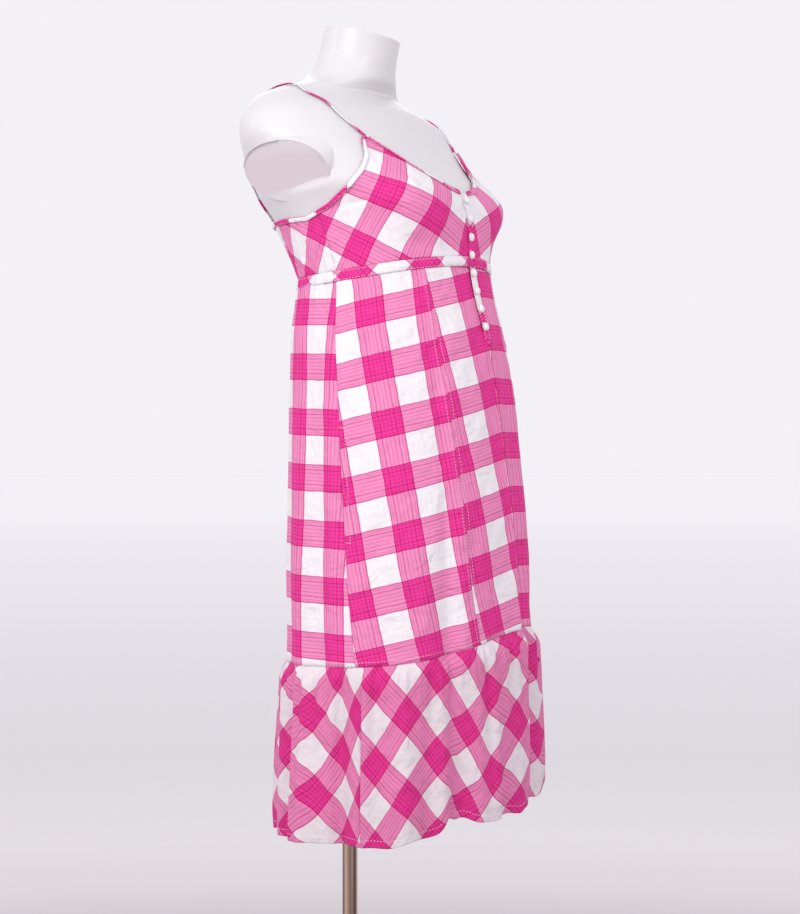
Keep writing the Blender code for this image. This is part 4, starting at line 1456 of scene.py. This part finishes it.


# metal with streaks round it: on the base plate they are grain, on the pole they are painted reflections
def steelWithStreaks(name, colour, roughness, streakScale, darkest):
    made, start, shader = newMaterial(name)
    place = start.node("TexCoord", {}, {}, result="Object")
    stretched = start.node("Mapping", {}, {"Vector": place, "Scale": streakScale})
    grainAndReflectionStreaks = start.node("TexNoise", {}, {"Vector": stretched, "Scale": 1.0, "Detail": 4.0})
    smears = start.node("TexNoise", {}, {"Vector": place, "Scale": 14.0, "Detail": 3.0})
    dark = tuple(c * darkest for c in colour)
    shade = start.mix(grainAndReflectionStreaks.within(0.38, 0.62), (*dark, 1), (*colour, 1))
    feed(start, shader, {
        "Base Color": shade,
        "Metallic": 1.0,
        "Roughness": smears * 0.14 + roughness,
        "Normal": start.node("Bump", {}, {"Strength": 0.3, "Distance": 1.0, "Height": grainAndReflectionStreaks * 0.00004}),
    })
    return made


def turnedPiece(name, look, profile, replaced, segments=72):
    mesh = bmesh.new()
    spinProfile(mesh, profile, segments, 1e-7)
    finishPiece(name, mesh, look, replaced, sharp=28)


def makeStand():
    # the pole's brown tone and its dark vertical streaks are painted reflections of a warm room
    poleSteel = steelWithStreaks("poleSteel", (0.66, 0.47, 0.37), 0.14, (270.0, 270.0, 0.9), 0.16)
    baseSteel = steelWithStreaks("baseSteel", (0.48, 0.45, 0.43), 0.26, (900.0, 40.0, 900.0), 0.85)
    floor = stand["baseTall"] + dress["seamGap"]
    top = formRows["height"][0] - dress["seamGap"]
    rim, tall = stand["base"], stand["baseTall"]
    turnedPiece("basePlate", baseSteel, (
        (0.0, 0.0), (rim - 0.002, 0.0), (rim, 0.002), (rim, tall - 0.005), (rim - 0.0012, tall - 0.0030),
        (rim - 0.004, tall - 0.0013), (rim - 0.010, tall - 0.0002), (rim - 0.016, tall), (0.0, tall),
    ), ["base_plate"], 120)
    collar, pole, socket = stand["collar"], stand["pole"], stand["socket"]
    high = floor + stand["collarTall"]
    low = top - stand["socketTall"]
    turnedPiece("poleTube", poleSteel, (
        (0.0, floor), (collar - 0.001, floor), (collar, floor + 0.001), (collar, high - 0.004),
        (collar - 0.0012, high - 0.0012), (collar - 0.004, high), (pole + 0.0012, high), (pole, high + 0.0012),
        (pole, low - 0.0012), (pole + 0.0012, low), (socket - 0.001, low), (socket, low + 0.001),
        (socket, top), (0.0, top),
    ), ["pole"])


makeStand()
print("stand is made")


# sewing
sewing = dict(hemAbove=0.0085, seamAbove=0.0052, bindingAbove=0.0010, pocketAway=0.0070, tackLong=0.0100)


def degreesOf(length):
    return length / skirtRadius * 180 / pi


def makeSewing():
    skirtRun = bmesh.new()
    for sign in (1, -1):
        for side in (1, -1):
            offset = degreesOf(side * skirt["stitchAway"])

            def angleAt(height):
                return sign * (princess(height) + offset)

            stitchRow(skirtRun, skirtFace, downSeam(angleAt, casingLow(34) - 0.003, skirtSeam(30 * sign) + 0.002, 150))

        def pocketAngle(height):
            return sign * (dress["sideSeam"] - degreesOf(sewing["pocketAway"]))

        stitchRow(skirtRun, skirtFace, downSeam(pocketAngle, skirt["pocketTop"], skirt["pocketLow"], 60))
        for height in (skirt["pocketTop"], skirt["pocketLow"]):
            reach = degreesOf(sewing["tackLong"])
            for lower in (-0.0008, -0.0004, 0.0, 0.0004, 0.0008):
                path = [(sign * (dress["sideSeam"] - reach * i / 8), height + lower - 0.0004 * i / 8) for i in range(9)]
                stitchRow(skirtRun, skirtFace, path, pitch=0.0016, lift=0.0005)
    seamPath = along((-178, 178), lambda angle: skirtSeam(angle) + sewing["seamAbove"], 0.8)
    stitchRow(skirtRun, skirtFace, seamPath)
    finishPiece("skirtStitching", skirtRun, thread, sharp=None)

    hemRun = bmesh.new()
    stitchRow(hemRun, flounceFace, along((-178, 178), lambda angle: 1 - sewing["hemAbove"] / flounce["tall"], 0.5))
    finishPiece("hemStitching", hemRun, thread, sharp=None)

    topRun = bmesh.new()
    for share in (0.13, 0.87):
        for low, high in ((3.0, 180), (-180, -3.0)):
            path = along((low, high), lambda a: casingLow(a) + 0.0003 + 0.0125 * share, 0.8)
            stitchRow(topRun, casingFace, path)
    for low, high in ((2.5, 31.5), (-31.5, -2.5), (38.5, 321.5)):
        path = along((low, high), lambda a: topEdge(a) - binding["wide"] + sewing["bindingAbove"], 0.6)
        stitchRow(topRun, bindingFace, path, pitch=0.0030)
    for side in (-1, 1):
        edge = side * placket["span"] * 0.72
        path = [(edge, spread(casingLow(0), placket["low"] + 0.004, i / 90)) for i in range(91)]
        stitchRow(topRun, placketFace, path)
    for drop in (0.004, 0.011):
        path = [(spread(-1.6, 1.6, i / 8), placket["low"] + drop) for i in range(9)]
        stitchRow(topRun, placketFace, path, pitch=0.0016)
    finishPiece("bodiceStitching", topRun, thread, sharp=None)


makeSewing()
print("sewing is made")


# floor, light and camera
studio = dict(
    floorWide=120.0,
    # the floor's tone by distance from the stand, in metres, and how warm it is; the darker tones near the stand and
    # about 5 m out are painted shadow
    floorShadeByDistance=(
        (1.5, 0.45, 3.0), (2.5, 0.74, 1.6), (3.2, 0.83, 1.2), (5.0, 0.80, 1.1), (7.0, 0.83, 1.0), (14.0, 0.91, 0.7),
        (40.0, 1.0, 0.0),
    ),
    world=(0.900, 0.872, 0.925, 1),
    # where each soft light stands, its size and its power
    lights=(
        ((-1.95, 0.05, 1.62), 1.0, 16.0),
        ((-0.9, -1.70, 1.80), 1.0, 8.8),
        ((-1.2, 1.6, 2.0), 1.0, 2.4),
        ((1.7, 1.2, 2.2), 1.2, 6.0),
    ),
)


def floorWithPaintedShadow():
    made, start, shader = newMaterial("floorWithPaintedShadow")
    place = start.node("TexCoord", {}, {}, result="Object")
    away = start.node("VectorMath", {"operation": "LENGTH"}, {0: place}, result="Value")
    # darker near the stand and in a ring about 5 m out: painted shadow
    far = studio["floorShadeByDistance"][-1][0]
    stops = [
        (distance / far, (tone, tone * (1 - 0.028 * warm), tone * (1 - 0.015 * warm)))
        for distance, tone, warm in studio["floorShadeByDistance"]
    ]
    tone = start.node("ValToRGB", {"stops": stops}, {0: away / far})
    feed(start, shader, {"Base Color": tone, "Roughness": 0.9, "Specular IOR Level": 0.1})
    return made


def makeStudio():
    mesh = bmesh.new()
    bmesh.ops.create_circle(mesh, cap_ends=True, segments=96, radius=studio["floorWide"])
    mesh.transform(Matrix.Translation((0, 0, -0.0005)))
    floor = addObject("floor", mesh)
    floor.data.materials.append(floorWithPaintedShadow())
    world = bpy.data.worlds.new("studio")
    bpy.context.scene.world = world
    world.use_nodes = True
    background = world.node_tree.nodes["Background"]
    background.inputs["Color"].default_value = studio["world"]
    for number, (place, size, power) in enumerate(studio["lights"]):
        lamp = bpy.data.lights.new(f"softLight{number}", "AREA")
        lamp.shape = "DISK"
        lamp.size = size
        lamp.energy = power
        holder = bpy.data.objects.new(lamp.name, lamp)
        holder.location = place
        holder.rotation_euler = (Vector((0, -0.05, 0.95)) - Vector(place)).to_track_quat("-Z", "Y").to_euler()
        bpy.context.scene.collection.objects.link(holder)


view = dict(turn=-58.0, distance=3.2, aside=0.0625, height=0.95, lens=100.8)


def makeCamera():
    turn = radians(view["turn"])
    right, ahead = Vector((cos(turn), sin(turn), 0)), Vector((-sin(turn), cos(turn), 0))
    camera = bpy.data.objects.new("camera", bpy.data.cameras.new("camera"))
    camera.location = -ahead * view["distance"] + right * view["aside"] + Vector((0, 0, view["height"]))
    camera.rotation_euler = (pi / 2, 0, turn)
    camera.data.lens = view["lens"]
    camera.data.sensor_width = 36.0
    bpy.context.scene.collection.objects.link(camera)
    bpy.context.scene.camera = camera


makeStudio()
makeCamera()
bpy.context.scene.view_settings.view_transform = "Standard"
